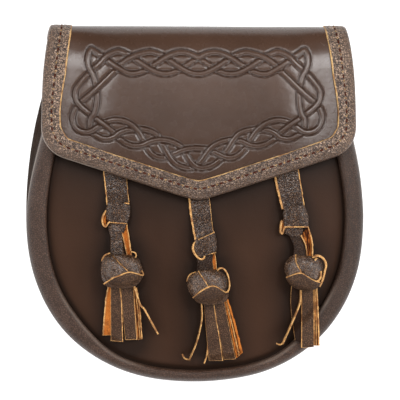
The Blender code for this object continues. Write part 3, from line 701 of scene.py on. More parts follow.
frontPanel = dict(
    wall=2.2, underRim=3.4, topY=80.0, steps=160, dents=0.55, dentSize=30.0, dentStretch=(1.0, 0.45, 0.0),
    flatFrom=0.8,  # share of the radius that the dents fade from
    # painted shadow: how dark the leather is painted beside what covers it, where its shade falls, and the
    # distance that this fades over
    flapShade=0.98, flapFade=23.0, tasselShade=0.82, tasselFade=9.5, tasselZ=38.0,
    # painted shadow in the crease inside the rim, and painted shade a little everywhere above the bottom, so
    # that the bottom reads lighter
    creaseShade=0.85, crease=(0.915, 0.955), otherShade=0.10, otherY=(-84.0, -62.0),
    # each tassel's middle line in picture pixels, with the half of its width
    tassels=(
        [(114, 160, 11), (118, 215, 12), (116, 240, 8), (121, 256, 18), (122, 284, 18), (124, 338, 20)],
        [(198, 180, 10), (205, 245, 11), (205, 262, 8), (208, 272, 18), (209, 300, 19), (215, 342, 20)],
        [(286, 160, 12), (296, 222, 13), (299, 245, 8), (304, 260, 17), (304, 288, 17), (304, 346, 18)],
    ),
)


def buildFrontPanel():
    # a square grid pressed into a disc, whose radius in each direction reaches the panel's edge
    p = frontPanel
    points, out = pouchOutline(900)
    depth = rimWidth(points[:, 0]) - p["underRim"] + frontPull(points[:, 1])
    edgeLine = points - out * depth[:, None]
    edgeLine[:, 1] = np.minimum(edgeLine[:, 1], p["topY"])
    edgeLine = np.vstack([edgeLine, np.linspace(edgeLine[-1], edgeLine[0], 200)[1:-1]])
    edgeLine[:, 1] -= pouch["waistY"]
    angle = np.arctan2(edgeLine[:, 1], edgeLine[:, 0])
    order = np.argsort(angle)
    s = np.linspace(-1.0, 1.0, p["steps"] + 1)
    u, v = np.meshgrid(-s, s)  # from right to left, so that the grid faces up
    discX, discY = u * np.sqrt(1.0 - v * v / 2), v * np.sqrt(1.0 - u * u / 2)
    far = np.hypot(*edgeLine.T)[order]
    reach = np.interp(np.arctan2(discY, discX), angle[order], far, period=2 * math.pi)
    x, y = discX * reach, discY * reach + pouch["waistY"]
    base = np.stack([x, y, panelZ(x, y)], axis=-1)
    radius = np.hypot(discX, discY)
    outer = base.copy()
    dents = softNoise(base * p["dentStretch"], p["dentSize"], 2)
    outer[..., 2] += p["dents"] * smoothStep(1.0, p["flatFrom"], radius) * dents
    piece = thickSheet("pouch_front", outer, base, p["wall"], 4, panelSkin, "front_panel")
    # painted shadow beside what covers the panel
    mark(piece, "painted_shadow", paintedShadow(base, radius))


def paintedShadow(points, radius):
    # painted shadow, 0 to 1: how much darker the leather is painted beside the flap's lower edge, the tassels
    # and the rim, where their shade falls
    p = frontPanel
    below = np.clip(flapLowY(points[..., 0] - flap["centreX"]) - points[..., 1], 0.0, None)
    dark = p["flapShade"] * np.exp(-below / p["flapFade"])
    for line in np.array(p["tassels"], float):
        middle = fromPicture(*evenly(line[:, :2], 60).T, p["tasselZ"])[:, :2]
        half = evenly(line, 60)[:, 2] * view["pixel"]
        gap = np.linalg.norm(points[..., None, :2] - middle, axis=-1) - half
        gap = np.clip(gap.min(axis=-1), 0.0, None)
        dark = np.maximum(dark, p["tasselShade"] * np.exp(-gap / p["tasselFade"]))
    # painted shade: a little darker everywhere above the bottom
    dark = np.maximum(dark, p["otherShade"] * smoothStep(*p["otherY"], points[..., 1]))
    # painted shadow in the crease inside the rim
    return np.maximum(dark, p["creaseShade"] * smoothStep(*p["crease"], radius))


# back panel, fold and flap: one sheet of leather

backInset = gusset["backRoundAcross"] + gusset["backLand"] + gusset["backLip"] - frontPanel["underRim"]
flap = dict(
    centreX=1.3, foldY=84.0, topY=97.4, frontFoldY=74.0, foldZ=23.5, frontZ=41.0, tipZ=42.2,
    topHalf=81.9, wideHalf=86.5, wideY=44.0, sidePower=2.1, lowY=1.7, slope=0.33, tipRound=4.5, tipX=-1.0,
    corner=17.0, droop=6.0, droopPower=3.5, wall=2.2, spreadOver=9.0,
    columns=345, evenShare=0.45, backRows=20, backStart=0.16, backLower=0.3,
    foldBackRows=16, foldFrontRows=63, frontRows=142,
    # what it swells by: between the sides, below the fold and above the edge
    bulge=1.2, bulgeHalf=78.0, bulgePower=1.5, bulgeY=24.0, bulgeOver=4.0, bulgeEdge=(3.0, 24.0),
    foldFull=0.8, foldFullY=(86.0, 96.4), levelTo=0.5, dropFrom=0.82,
    sag=0.25, sagSize=34.0, sagStretch=(1.0, 1.0, 0.6),
)
cornerU = flap["wideHalf"] - flap["corner"]  # middle of the corner's arc, from the flap's middle
edgeLean = math.atan(flap["slope"])


def flapHalfWidth(y):
    rise = np.clip((y - flap["wideY"]) / (flap["topY"] - flap["wideY"]), 0.0, 1.0)
    return flap["wideHalf"] - (flap["wideHalf"] - flap["topHalf"]) * rise ** flap["sidePower"]


def flapFrontZ(y):
    share = np.clip((flap["frontFoldY"] - y) / (flap["frontFoldY"] - flap["lowY"]), 0.0, 1.0)
    return flap["frontZ"] + (flap["tipZ"] - flap["frontZ"]) * share


def droop(c):
    return flap["droop"] * np.abs(c) ** flap["droopPower"]


def flapLowY(u):
    return flap["lowY"] + flap["slope"] * np.hypot(u - flap["tipX"], flap["tipRound"])


def cornerY(side):
    # middle of the corner's arc
    return flapLowY(side * cornerU) + flap["corner"] / math.cos(edgeLean)


def flapEdgeY(columns):
    # height of the lower edge at each column, with round corners
    u = np.abs(columns) * flap["wideHalf"]
    low = flapLowY(columns * flap["wideHalf"])
    arcDrop = np.sqrt(np.clip(flap["corner"] ** 2 - (u - cornerU) ** 2, 0.0, None))
    inCorner = u > cornerU + flap["corner"] * math.sin(edgeLean)
    return np.where(inCorner, cornerY(np.sign(columns)) - arcDrop, low)


def flapZ(x, y):
    # middle of the flap's wall on its front: level below the fold and a quarter ellipse above it, less the
    # droop, which fades out over the fold
    share = np.clip((y - flap["frontFoldY"]) / (flap["topY"] - flap["frontFoldY"]), 0.0, 1.0)
    fold = flap["foldZ"] + (flap["frontZ"] - flap["foldZ"]) * np.sqrt(1.0 - share**2)
    c = np.clip((x - flap["centreX"]) / flapHalfWidth(y), -1.0, 1.0)
    return np.where(share > 0.0, fold, flapFrontZ(y)) - (1.0 - share**2) * droop(c)


def backHalfWidth(y):
    low = lowHalfWidth(y - flap["backLower"] * backInset)
    return np.where(y < pouch["waistY"], low, sideHalfWidth(y)) - backInset


def foldLine(a):
    # the sheet over the mouth, at angles from -90 degrees behind to 90 in front: height up the pouch, z, half
    # width, share of the droop and shift to the side
    level = pouch["backFaceZ"] + flap["wall"] / 2
    start = backHalfWidth(flap["foldY"])
    foot = np.where(a < 0, flap["foldY"], flap["frontFoldY"])
    y = foot + (flap["topY"] - foot) * np.cos(a)
    z = flap["foldZ"] + np.where(a < 0, flap["foldZ"] - level, flap["frontZ"] - flap["foldZ"]) * np.sin(a)
    spread = smoothStep(flap["foldY"], flap["foldY"] + flap["spreadOver"], y)
    half = np.where(a < 0, start + (flap["topHalf"] - start) * spread, flapHalfWidth(y))
    shift = flap["centreX"] * smoothStep(pouch["backFaceZ"], flap["foldZ"], z)
    return np.array([y, z, half, np.where(a < 0, 0.0, np.sin(a) ** 2), shift])


def sheetGrid():
    # rows up the back, over the fold and down the front, columns from left to right
    even = np.linspace(-1.0, 1.0, flap["columns"])
    c = flap["evenShare"] * even + (1.0 - flap["evenShare"]) * np.sin(even * math.pi / 2)
    level = pouch["backFaceZ"] + flap["wall"] / 2
    half = flap["backRows"] // 2
    turn = np.linspace(flap["backStart"], 1.0, half + 1)[:-1]
    backY = np.append(pouch["waistY"] - (drop - backInset) * np.cos(turn * math.pi / 2),
                      np.linspace(pouch["waistY"], flap["foldY"], half))
    rows = [np.stack([c * h, 0 * c + y, 0 * c + level], axis=-1) for h, y in zip(backHalfWidth(backY), backY)]
    behind = np.linspace(-90, 0, flap["foldBackRows"] + 1)[1:]
    ahead = np.linspace(0, 90, flap["foldFrontRows"] + 1)[1:]
    for y, z, h, share, shift in foldLine(np.radians(np.append(behind, ahead))).T:
        rows.append(np.stack([shift + c * h, 0 * c + y, z - share * droop(c)], axis=-1))
    low = flapEdgeY(c)
    for down in np.linspace(0.0, 1.0, flap["frontRows"] + 1)[1:]:
        y = flap["frontFoldY"] + (low - flap["frontFoldY"]) * down
        rows.append(np.stack([flap["centreX"] + c * flapHalfWidth(y), y, flapFrontZ(y) - droop(c)], axis=-1))
    return np.array(rows)


buildFrontPanel()
print("pouch made")


# the embossed border: three strands plaited round the flap. Each list runs from the top middle down the left
# side to the bottom middle, in picture pixels, and the right half is its mirror image

plait = dict(
    wave=99.0, middle=62.8, swing=10.8, axis=198.0, axisLean=3.0, leanFrom=110.0, leanTo=165.0,
    halfWidth=1.55, crown=0.40, crownPower=3, groove=0.58, grooveWidth=0.43, grooveOut=0.1,
    barEdge=(-0.1, 0.5), between=0.08, betweenOver=4.5, points=1400, near=4.0,
    strands=dict(
        first=[(118, 68), (107, 60.5), (97, 53.5), (91, 49.8), (88.2, 54), (87.5, 62), (89, 68), (92.6, 74.5),
               (95.6, 85), (96.9, 96), (96.2, 106), (94, 113.5), (90.5, 119), (90, 128.2), (95, 134.7),
               (103.7, 138.8), (112.4, 137.6), (119, 133), (127.5, 130), (141, 129.2), (152.5, 132.2),
               (158, 137), (161.8, 144), (165.6, 150.8), (170, 158.2), (176, 164.4), (184, 167.6),
               (190, 167.9)],
        second=[(118, 51.8), (107, 56), (100, 63), (91, 71), (81.2, 81.8), (75.4, 91), (76, 100), (81.4, 107),
                (90.7, 114.6), (100.5, 121.9), (110, 129.4), (117, 137), (125.4, 143.4), (134, 146),
                (142, 145), (150, 141.6), (158, 139.8), (166.5, 140.4), (175, 143.2), (181.6, 148),
                (185.8, 154.4), (189.8, 161)],
        third=[(148.5, 52), (135, 55.6), (123.5, 62), (113, 72.6), (98.5, 86.6), (89, 95), (78, 104.6),
               (72.8, 115), (73.4, 124), (78, 130), (84.5, 132.2), (91, 131), (98, 126.6), (106.6, 121.8),
               (115.6, 119.8), (124.5, 121.3), (132, 125.4), (138, 131.6), (142.6, 139.4), (146.4, 147.4),
               (151, 153.6), (157, 157.2), (164, 157.6), (172, 154.6), (179, 151.2), (187, 148.9),
               (195, 148.2)],
    ),
    # where a crest of each strand lies along the top, where the first and second cross at the bottom middle,
    # and a crossing at which the third strand is the upper one
    crests=dict(first=181.5, second=214.5, third=148.5),
    crossing=(195.0, 166.2),
    thirdIsOver=(182.5, 149.0),
)


def topWave(crest, start, end):
    # the plait's top run: a cosine about its middle
    across = np.linspace(start, end, 9)[:-1]
    down = plait["middle"] - plait["swing"] * np.cos(2 * math.pi * (across - crest) / plait["wave"])
    return np.column_stack([across, down])


def mirrored(pixels):
    # the other half, about an axis that leans at the lower edge
    share = np.clip((pixels[:, 1] - plait["leanFrom"]) / (plait["leanTo"] - plait["leanFrom"]), 0.0, 1.0)
    return np.column_stack([2 * (plait["axis"] - plait["axisLean"] * share) - pixels[:, 0], pixels[:, 1]])


def strandLoops():
    # the three closed strands on the flap, as even points. The first and second change places at the middle
    halves = {}
    for name, points in plait["strands"].items():
        parts = [topWave(plait["crests"][name], plait["axis"], points[0][0] + 1.0), points]
        if name != "third":
            parts.append([plait["crossing"]])
        halves[name] = np.vstack(parts)
    loops = []
    for left, right in (("first", "second"), ("second", "first"), ("third", "third")):
        pixels = np.vstack([halves[left], mirrored(halves[right])[-2:0:-1]])
        loops.append(onSurface(smoothLine(pixels, plait["points"], closed=True)[:-1], flapZ)[:, :2])
    return loops


def turnSide(p, q, r):
    # above 0 where r lies to the left of the way from p to q
    return (q[:, 0] - p[:, 0]) * (r[:, 1] - p[:, 1]) - (q[:, 1] - p[:, 1]) * (r[:, 0] - p[:, 0])


def strandCrossings(loops):
    # every crossing as the numbers of its two strands, each with its place along the strand
    found = []
    for first, second in ((0, 1), (0, 2), (1, 2)):
        a, c = loops[first], loops[second]
        b, d = np.roll(a, -1, axis=0), np.roll(c, -1, axis=0)
        i, j = np.nonzero(np.abs(a[:, None] - c[None]).sum(axis=-1) < plait["near"])
        hit = turnSide(a[i], b[i], c[j]) * turnSide(a[i], b[i], d[j]) < 0
        hit &= turnSide(c[j], d[j], a[i]) * turnSide(c[j], d[j], b[i]) < 0
        found += [{first: int(m), second: int(n)} for m, n in zip(i[hit], j[hit])]
    return found


def strandLevels(loops):
    # +1 where a strand passes over another and -1 where it passes under. From one known crossing on, every
    # strand goes over and under by turns
    meetings = strandCrossings(loops)
    orders = [sorted((place[k], n) for n, place in enumerate(meetings) if k in place) for k in range(3)]
    known = onSurface(np.array(plait["thirdIsOver"]), flapZ)[:2]
    start = int(np.argmin([np.hypot(*(loops[2][m[2]] - known)) if 2 in m else np.inf for m in meetings]))
    winner, queue = {start: 2}, [start]
    while queue:
        here = queue.pop()
        for k in meetings[here]:
            along = [n for _, n in orders[k]]
            at = along.index(here)
            for near in (along[at - 1], along[(at + 1) % len(along)]):
                if near not in winner:
                    other = next(n for n in meetings[near] if n != k)
                    winner[near] = other if winner[here] == k else k
                    queue.append(near)
    levels = []
    for k, line in enumerate(loops):
        places = [place for place, _ in orders[k]]
        signs = [1.0 if winner[n] == k else -1.0 for _, n in orders[k]]
        levels.append(np.interp(np.arange(len(line)), places, signs, period=len(line)))
    print("plait:", len(meetings), "crossings")
    return levels


def nearestOnStrands(points):
    # for every point above the middle of the fold, its distance to each strand and that strand's level there
    loops = strandLoops()
    levels = strandLevels(loops)
    flat = points.reshape(-1, 3)[:, :2]
    chosen = np.nonzero(points.reshape(-1, 3)[:, 2] > flap["foldZ"])[0]
    beyond, batch = 99.0, 4000  # farther than any groove reaches, and how many points are measured at a time
    away = np.full((3, len(flat)), beyond)
    level = np.zeros((3, len(flat)))
    for k, (line, high) in enumerate(zip(loops, levels)):
        for part in np.array_split(chosen, max(len(chosen) // batch, 1)):
            x, y = flat[part, :, None].swapaxes(0, 1)
            gap = (x - line[:, 0]) ** 2 + (y - line[:, 1]) ** 2
            nearest = gap.argmin(axis=1)
            away[k, part] = np.sqrt(gap[np.arange(len(part)), nearest])
            level[k, part] = high[nearest]
    return away, level


def embossing(points):
    # height of the relief, and how deep in a groove each point lies: a rounded bar along each strand between
    # two pressed grooves. A strand that passes under another is wiped out by the upper one's bar and grooves
    # the second value is painted shade: the flap's look darkens each point by how deep in a groove it lies
    away, level = nearestOnStrands(points)
    half = plait["halfWidth"]
    relief = -plait["between"] * (1.0 - smoothStep(half, half + plait["betweenOver"], away.min(axis=0)))
    dark = np.zeros_like(relief)
    for strand in np.take_along_axis(away, np.argsort(level, axis=0), axis=0):
        groove = bell(strand, half + plait["grooveOut"], plait["grooveWidth"])
        bar = plait["crown"] * np.sqrt(np.clip(1.0 - (strand / half) ** plait["crownPower"], 0.0, 1.0))
        over = 1.0 - smoothStep(*plait["barEdge"], strand - half)
        relief = over * bar + (1.0 - over) * relief - plait["groove"] * groove
        dark = np.maximum(dark * (1.0 - over), groove)
    return relief.reshape(points.shape[:-1]), dark


def flapBulge(points):
    # what the flap swells by: nothing at its edges and fold, most near its middle
    x, y, z = np.moveaxis(points, -1, 0)
    x = x - flap["centreX"]
    c = np.abs(x) / flapHalfWidth(y)
    onFront = z > flap["foldZ"]
    across = np.clip(1.0 - (x / flap["bulgeHalf"]) ** 2, 0.0, 1.0) ** flap["bulgePower"]
    reach = flap["frontFoldY"] + flap["bulgeOver"] - flap["bulgeY"]
    along = np.clip(1.0 - ((y - flap["bulgeY"]) / reach) ** 2, 0.0, 1.0)
    low = smoothStep(*flap["bulgeEdge"], y - flapLowY(x))
    fold = smoothStep(*flap["foldFullY"], y)
    level = droop(c) * (1.0 - smoothStep(flap["levelTo"], flap["dropFrom"], c)) * (1.0 - fold) * onFront
    return flap["bulge"] * across * along * low * onFront + level + flap["foldFull"] * fold


def buildFlap():
    base = sheetGrid()
    normals = gridNormals(base)
    relief, dark = embossing(base)
    sag = flap["sag"] * softNoise(base * flap["sagStretch"], flap["sagSize"], 8) + flapBulge(base)
    half = flap["wall"] / 2
    outer = base + normals * (half + relief + sag)[..., None]
    piece = thickSheet("pouch_back_and_flap", outer, base + normals * half, flap["wall"], 4, smooth,
                       "back_and_flap")
    # painted shade: the grooves' depth, which the flap's look darkens
    mark(piece, "groove", dark)
    print("flap made, relief from", round(float(relief.min()), 2), "to", round(float(relief.max()), 2), "mm")


buildFlap()


# the binding round the flap's edge. Places on it are told as w, the distance inwards from the edge, and a
# height out of the sheet

binding = dict(
    width=9.3, wall=1.0, gap=0.35, fromHalf=79.0, stations=1000,
    # what it is wider by towards the fold and on the corners
    foldExtra=1.9, foldExtraY=(50.0, 78.0), cornerExtra=1.1, cornerY=34.0, cornerReach=8.0,
    # its section, raised between its edges, with a skived inner edge
    faceTo=0.5, raised=0.25, turnFrom=0.2, skive=0.38, tip=(0.1, 0.3),
    stitchIn=4.6, stitchDip=0.28, dipSize=0.9, stitchPitch=4.7,
    # its relief
    pebble=1.25, pebbleHeight=0.13, unevenness=0.12, unevenSize=5.0, edgeShare=0.4,
    ragged=0.40, raggedSizes=(1.6, 5.0),
    # marks: fewer specks near the outer edge, a darker lower part as painted shade, and a painted highlight
    # on the left corner
    outerSpecks=0.4, specksFull=(1.0, 4.0), shade=0.40, shadeY=(38.0, 22.0), shadeZ=(30.0, 38.0),
    painted_highlight=0.6, highlightPoints=(24, 25), highlightX=(-48.0, -62.0), highlightY=(52.0, 42.0),
)


def bindingSpread(y):
    # how much wider than at its narrowest the binding is
    b = binding
    more = b["foldExtra"] * smoothStep(*b["foldExtraY"], y)
    return 1.0 + (more + b["cornerExtra"] * bell(y, b["cornerY"], b["cornerReach"])) / b["width"]


def frontEdgeHalf(side):
    # from the fold down one side of the front and round its corner, measured from the flap's middle
    sideY = np.linspace(flap["frontFoldY"], cornerY(side), 60)[1:-1]
    turn = np.linspace(0.0, edgeLean - math.pi / 2, 50)
    x = np.append(flapHalfWidth(sideY), cornerU + flap["corner"] * np.cos(turn))
    return np.column_stack([side * x, np.append(sideY, cornerY(side) + flap["corner"] * np.sin(turn))])


def bindingEdges():
    # the stations over the fold, as foldLine gives them, and those round the front from right to left, with
    # the directions inwards
    fold = foldLine(np.radians(np.linspace(-90, 90, 241)))
    touch = cornerU + flap["corner"] * math.sin(edgeLean)
    u = np.linspace(touch, -touch, 240)[1:-1]
    low = np.column_stack([u, flapLowY(u)])
    front = evenly(np.vstack([frontEdgeHalf(1.0), low, frontEdgeHalf(-1.0)[::-1]]), 760)
    ahead = np.gradient(front, axis=0)
    return fold[:, fold[2] >= binding["fromHalf"]], front, unit(np.column_stack([ahead[:, 1], -ahead[:, 0]]))


foldEdge, frontEdge, frontInwards = bindingEdges()


def sheetPoint(w):
    # the sheet at w inwards from its edge, for every station from the right fold round to the left
    y, z, half, share, shift = foldEdge
    inner = half - w * bindingSpread(y)
    z = z - share * droop(inner / half)
    right, left = (np.column_stack([shift + side * inner, y, z]) for side in (1.0, -1.0))
    u, v = (frontEdge + frontInwards * (w * bindingSpread(frontEdge[:, 1]))[:, None]).T
    front = np.column_stack([flap["centreX"] + u, v, flapFrontZ(v) - droop(u / flapHalfWidth(v))])
    return np.vstack([right, front, left[::-1]])


def bindingFrame(count):
    # a function that gives even stations at w inwards and at a height out of the sheet
    edgeLine = sheetPoint(0.0)
    run = runAlong(edgeLine)
    at = np.linspace(0.0, run[-1], count)
    ahead = unit(np.gradient(pointsAt(edgeLine, run, at), axis=0))

    def place(w, out):
        into = pointsAt(sheetPoint(w + 0.5), run, at) - pointsAt(sheetPoint(w - 0.5), run, at)
        return pointsAt(sheetPoint(w), run, at) + unit(np.cross(into, ahead)) * out

    return place


def bindingSection():
    # w and height of its points: over the front, round the edge and over the back, then back through the slot
    # that holds the flap. With it the number of points before the slot
    b = binding
    halfSlot = flap["wall"] / 2 + b["gap"]
    halfOut = halfSlot + b["wall"]
    w = np.linspace(b["width"] - b["skive"], b["faceTo"], 22)
    out = halfOut + b["raised"] * np.sin(math.pi * w / b["width"])
    front = np.column_stack([w, out - b["stitchDip"] * bell(w, b["stitchIn"], b["dipSize"])])
    turn = np.radians(np.linspace(75, -75, 9))
    outermost = -b["gap"] - b["wall"]
    edgeW = b["turnFrom"] + (outermost - b["turnFrom"]) * np.cos(turn)
    rolled = np.vstack([front, np.column_stack([edgeW, halfOut * np.sin(turn)]), front[::-1] * (1.0, -1.0)])
    slot = np.array([(b["width"] + b["tip"][0], halfSlot + b["tip"][1]), (b["width"], halfSlot),
                     (b["width"] / 2, halfSlot), (-b["gap"], halfSlot)])
    return np.vstack([rolled, slot * (1.0, -1.0), slot[::-1]]), len(rolled)


def buildBinding():
    b = binding
    section, rolled = bindingSection()
    at = bindingFrame(b["stations"])
    rings = np.stack([at(w, out) for w, out in section], axis=1)
    lift = unit(rings - np.stack([at(w, 0.0) for w in section[:, 0]], axis=1))
    bumps = b["pebbleHeight"] * pebbles(rings, b["pebble"], 3)
    bumps += b["unevenness"] * softNoise(rings, b["unevenSize"], 4)
    bumps[:, rolled:] = 0.0
    bumps[:, 0] *= b["edgeShare"]
    rings = rings + lift * bumps[..., None]
    fine, coarse = b["raggedSizes"]
    ragged = b["ragged"] * (softNoise(rings[:, 0], fine, 11) + softNoise(rings[:, 0], coarse, 12))
    rings[:, 0] += unit(rings[:, 1] - rings[:, 0]) * ragged[:, None]
    looks = [0] * (rolled - 1) + [1, 1, 2, 2, 2, 2, 2, 1, 1]
    skins = [bindingSkin, rawEdge, flesh]
    piece = carried("pouch_binding", rings, skins, "flap_binding", looks)
    specks = b["outerSpecks"] + (1.0 - b["outerSpecks"]) * smoothStep(*b["specksFull"], section[:, 0])
    mark(piece, "inner", np.tile(specks, b["stations"]))
    x, y, z = np.moveaxis(rings, -1, 0)
    # painted shade: darker towards the lower part
    mark(piece, "shade", b["shade"] * smoothStep(*b["shadeY"], y) * smoothStep(*b["shadeZ"], z))
    # painted highlight along the rounding of the left corner
    after = b["highlightPoints"][-1] + 1
    painted_highlight = np.zeros(rings.shape[:2])
    corner = smoothStep(*b["highlightX"], x[:, after]) * smoothStep(*b["highlightY"], y[:, after])
    painted_highlight[:, b["highlightPoints"]] = b["painted_highlight"] * corner[:, None]
    mark(piece, "painted_highlight", painted_highlight)
    print("binding made:", len(piece.data.polygons), "faces")


buildBinding()


# stitches: one short twisted stitch between each pair of holes, on both sides of the binding

stitch = dict(
    length=2.9, thick=1.05, wide=1.15, thinner=0.55, bend=0.55, sink=0.12, sides=6, rings=6,
    hole=0.40, holeHeight=0.40, ring=0.70, ringHeight=0.26,
)


def stitchShape():
    # a bar along x with thin ends bent down, as rings of points: x, across, up
    s = np.linspace(-1.0, 1.0, stitch["rings"])[:, None]
    angle = np.linspace(0.0, 2 * math.pi, stitch["sides"] + 1)[:-1]
    radius = stitch["thick"] / 2 * np.sqrt(1.0 - stitch["thinner"] * s**4)
    x = s * stitch["length"] / 2 + 0 * angle
    up = radius * np.sin(angle) - stitch["bend"] * np.abs(s) ** 3
    return np.stack([x, radius * np.cos(angle) * stitch["wide"], up], axis=-1)


def flatDot(radius, height):
    # a low round button
    s = np.array([-1.0, -0.7, 0.7, 1.0])[:, None]
    angle = np.linspace(0.0, 2 * math.pi, 9)[:-1]
    wide = radius * np.sqrt(1.02 - s**2)
    return np.stack([wide * np.cos(angle), wide * np.sin(angle), height * s + 0 * angle], axis=-1)


def repeated(name, shape, places, along, up, look):
    # the same small shape at every place, turned to its directions
    axes = np.stack([along, np.cross(up, along), up], axis=1)
    points = places[:, None, None, :] + np.einsum("rsk,nkj->nrsj", shape, axes)
    one = tubeFaces(*shape.shape[:2])
    count = shape.shape[0] * shape.shape[1]
    faces = [[n * count + k for k in face] for n in range(len(places)) for face in one]
    makePiece(name, points, faces, [look])


def placesAlong(line, lift, shares):
    # places at these shares of the line's run, with the directions along it and up, square to each other
    run = runAlong(line)
    at = shares * run[-1]
    along = unit(pointsAt(np.gradient(line, axis=0), run, at))
    up = unit(pointsAt(lift, run, at))
    return pointsAt(line, run, at), along, unit(up - along * np.sum(up * along, axis=1, keepdims=True))


def buildStitches():
    b = binding
    count = int(runAlong(sheetPoint(b["stitchIn"]))[-1] / b["stitchPitch"])
    at = bindingFrame(20 * count)
    high = flap["wall"] / 2 + b["gap"] + b["wall"] - stitch["sink"]
    for name, side in (("front", 1.0), ("back", -1.0)):
        line = at(b["stitchIn"], side * high)
        lift = line - at(b["stitchIn"], 0.0)
        between = placesAlong(line, lift, (np.arange(count) + 0.5) / count)
        repeated("binding_stitches_" + name, stitchShape(), *between, thread)
        holes = placesAlong(line, lift, np.arange(1, count) / count)
        repeated("hole_rings_" + name, flatDot(stitch["ring"], stitch["ringHeight"]), *holes, rawEdge)
        repeated("stitch_holes_" + name, flatDot(stitch["hole"], stitch["holeHeight"]), *holes, holeSkin)


buildStitches()
print("stitches made")


# straps, wraps, knots and fringe: patches of leather, each between two border lines

patch = dict(
    step=0.5, gap=0.35, plainEdge=0.12, edgeDrop=0.26, pebble=1.15, grain=0.14, wobble=0.5, wobbleSize=1.4,
    curlEdge=0.1, curlCrown=0.1, curlGrain=0.05,
)


def borderLine(pixels, count):
    pixels = np.asarray(pixels, float)
    return smoothLine(pixels, count) if len(pixels) > 2 else evenly(pixels, count)


def patchGrid(left, right, on, lift, crown, power, wall):
    # straight across from one border line to the other, at a height above what carries it: the thickness, a
    # lift along the way and a crown of 1 less the distance from the middle to a power
    length = max(runAlong(np.array(line, float))[-1] for line in (left, right)) * view["pixel"]
    width = np.linalg.norm(borderLine(left, 9) - borderLine(right, 9), axis=1).max() * view["pixel"]
    rows, columns = max(int(length / patch["step"]), 6), max(int(width / patch["step"]), 3) + 1
    first, second = borderLine(left, rows)[:, None], borderLine(right, rows)[:, None]
    v = np.linspace(0.0, 1.0, columns)
    rise = np.interp(np.linspace(0.0, 1.0, rows), np.linspace(0.0, 1.0, len(lift)), lift)[:, None]
    rise = rise + crown * (1.0 - np.abs(2.0 * v - 1.0) ** power) + wall
    return onSurface(first + (second - first) * v[:, None], lambda x, y: on(x, y) + rise, 5)


def leatherPatch(name, node, left, right, on, looks, lift=(0.0,), crown=0.25, power=2.0, wall=1.3,
                 raw=(0, 0, 0, 0), grain=patch["grain"]):
    # raw tells how wide the cut edge shows along the left, right, first and last border
    face = patchGrid(left, right, on, lift, crown, power, wall)
    face[..., 2] += grain * pebbles(face, patch["pebble"], 9)
    top = np.pad(face, ((1, 1), (1, 1), (0, 0)), mode="edge")
    out = np.zeros_like(top)
    wide = [max(show, patch["plainEdge"]) for show in raw]
    out[:, 0] = unit((top[:, 1] - top[:, 2]) * (1, 1, 0)) * wide[0]
    out[:, -1] = unit((top[:, -2] - top[:, -3]) * (1, 1, 0)) * wide[1]
    out[0] += unit((top[1] - top[2]) * (1, 1, 0)) * wide[2]
    out[-1] += unit((top[-2] - top[-3]) * (1, 1, 0)) * wide[3]
    out *= 1.0 + patch["wobble"] * softNoise(top, patch["wobbleSize"], 6)[..., None]
    rows, columns = top.shape[:2]
    ring = np.ones((rows, columns), bool)
    ring[1:-1, 1:-1] = False
    out[ring, 2] = -patch["edgeDrop"] * wall
    top = top + out
    under = top.copy()
    under[..., 2] -= np.where(ring, (1.0 - patch["edgeDrop"]) * wall, wall)
    cut = [int(show > 0) for show in raw]
    lookTop = np.zeros((rows - 1, columns - 1), int)
    lookTop[0], lookTop[-1] = cut[2], cut[3]
    lookTop[:, 0], lookTop[:, -1] = cut[0], cut[1]
    count = rows * columns
    loop = edgeLoop(rows, columns)
    after = np.roll(loop, -1)
    rim = np.stack([loop, after, after + count, loop + count], axis=-1)
    rimLooks = np.repeat([cut[k] for k in (2, 1, 3, 0)], [columns - 1, rows - 1] * 2)
    faces = np.vstack([gridFaces(rows, columns), gridFaces(rows, columns, first=count), rim])
    lookOf = np.concatenate([lookTop.ravel(), np.full(lookTop.size, 2), rimLooks])
    makePiece(name, np.stack([top, under]), faces.tolist(), looks, node, lookOf)


def curl(name, node, line, on, lift=(0.0,), width=1.0, tall=3.0):
    # a strip that stands on its edge along a line: its border lines lie half its thickness to either side
    line = borderLine(line, 40)
    ahead = unit(np.gradient(line, axis=0))
    side = np.column_stack([ahead[:, 1], -ahead[:, 0]]) * width / 2 / view["pixel"]
    looks = [tasselEdge, tasselEdge, flesh]
    leatherPatch(name, node, line + side, line - side, on, looks, [high - tall for high in lift],
                 patch["curlCrown"], wall=tall, raw=[patch["curlEdge"]] * 4, grain=patch["curlGrain"])


def lump(name, node, centre, half, middle, depth, square, taper=0.0, turn=0.0):
    # a body between an ellipsoid and a box: the distance from its axis is that of a superellipse
    v = np.linspace(0.0, math.pi, 34)[1:-1, None]
    h = np.linspace(0.0, 2 * math.pi, 73)[None, :-1]
    px, py, pz = np.sin(v) * np.cos(h), np.sin(v) * np.sin(h), np.cos(v) + 0 * h
    grow = np.hypot(px, py) / (np.abs(px) ** square + np.abs(py) ** square) ** (1.0 / square)
    px, py = px * grow, py * grow
    px = px * (1.0 + taper * np.minimum(py, 0.0)) * half[0]
    py = py * half[1]
    pz = np.sign(pz) * np.abs(pz) ** (2.0 / square)
    x = centre[0] + px * math.cos(turn) - py * math.sin(turn)
    y = centre[1] + px * math.sin(turn) + py * math.cos(turn)
    makePiece(name, np.stack([x, y, middle + pz * depth], axis=-1), tubeFaces(*x.shape), [grained], node)


# the collars' and knots' places, and the cores that their wraps and turns lie round

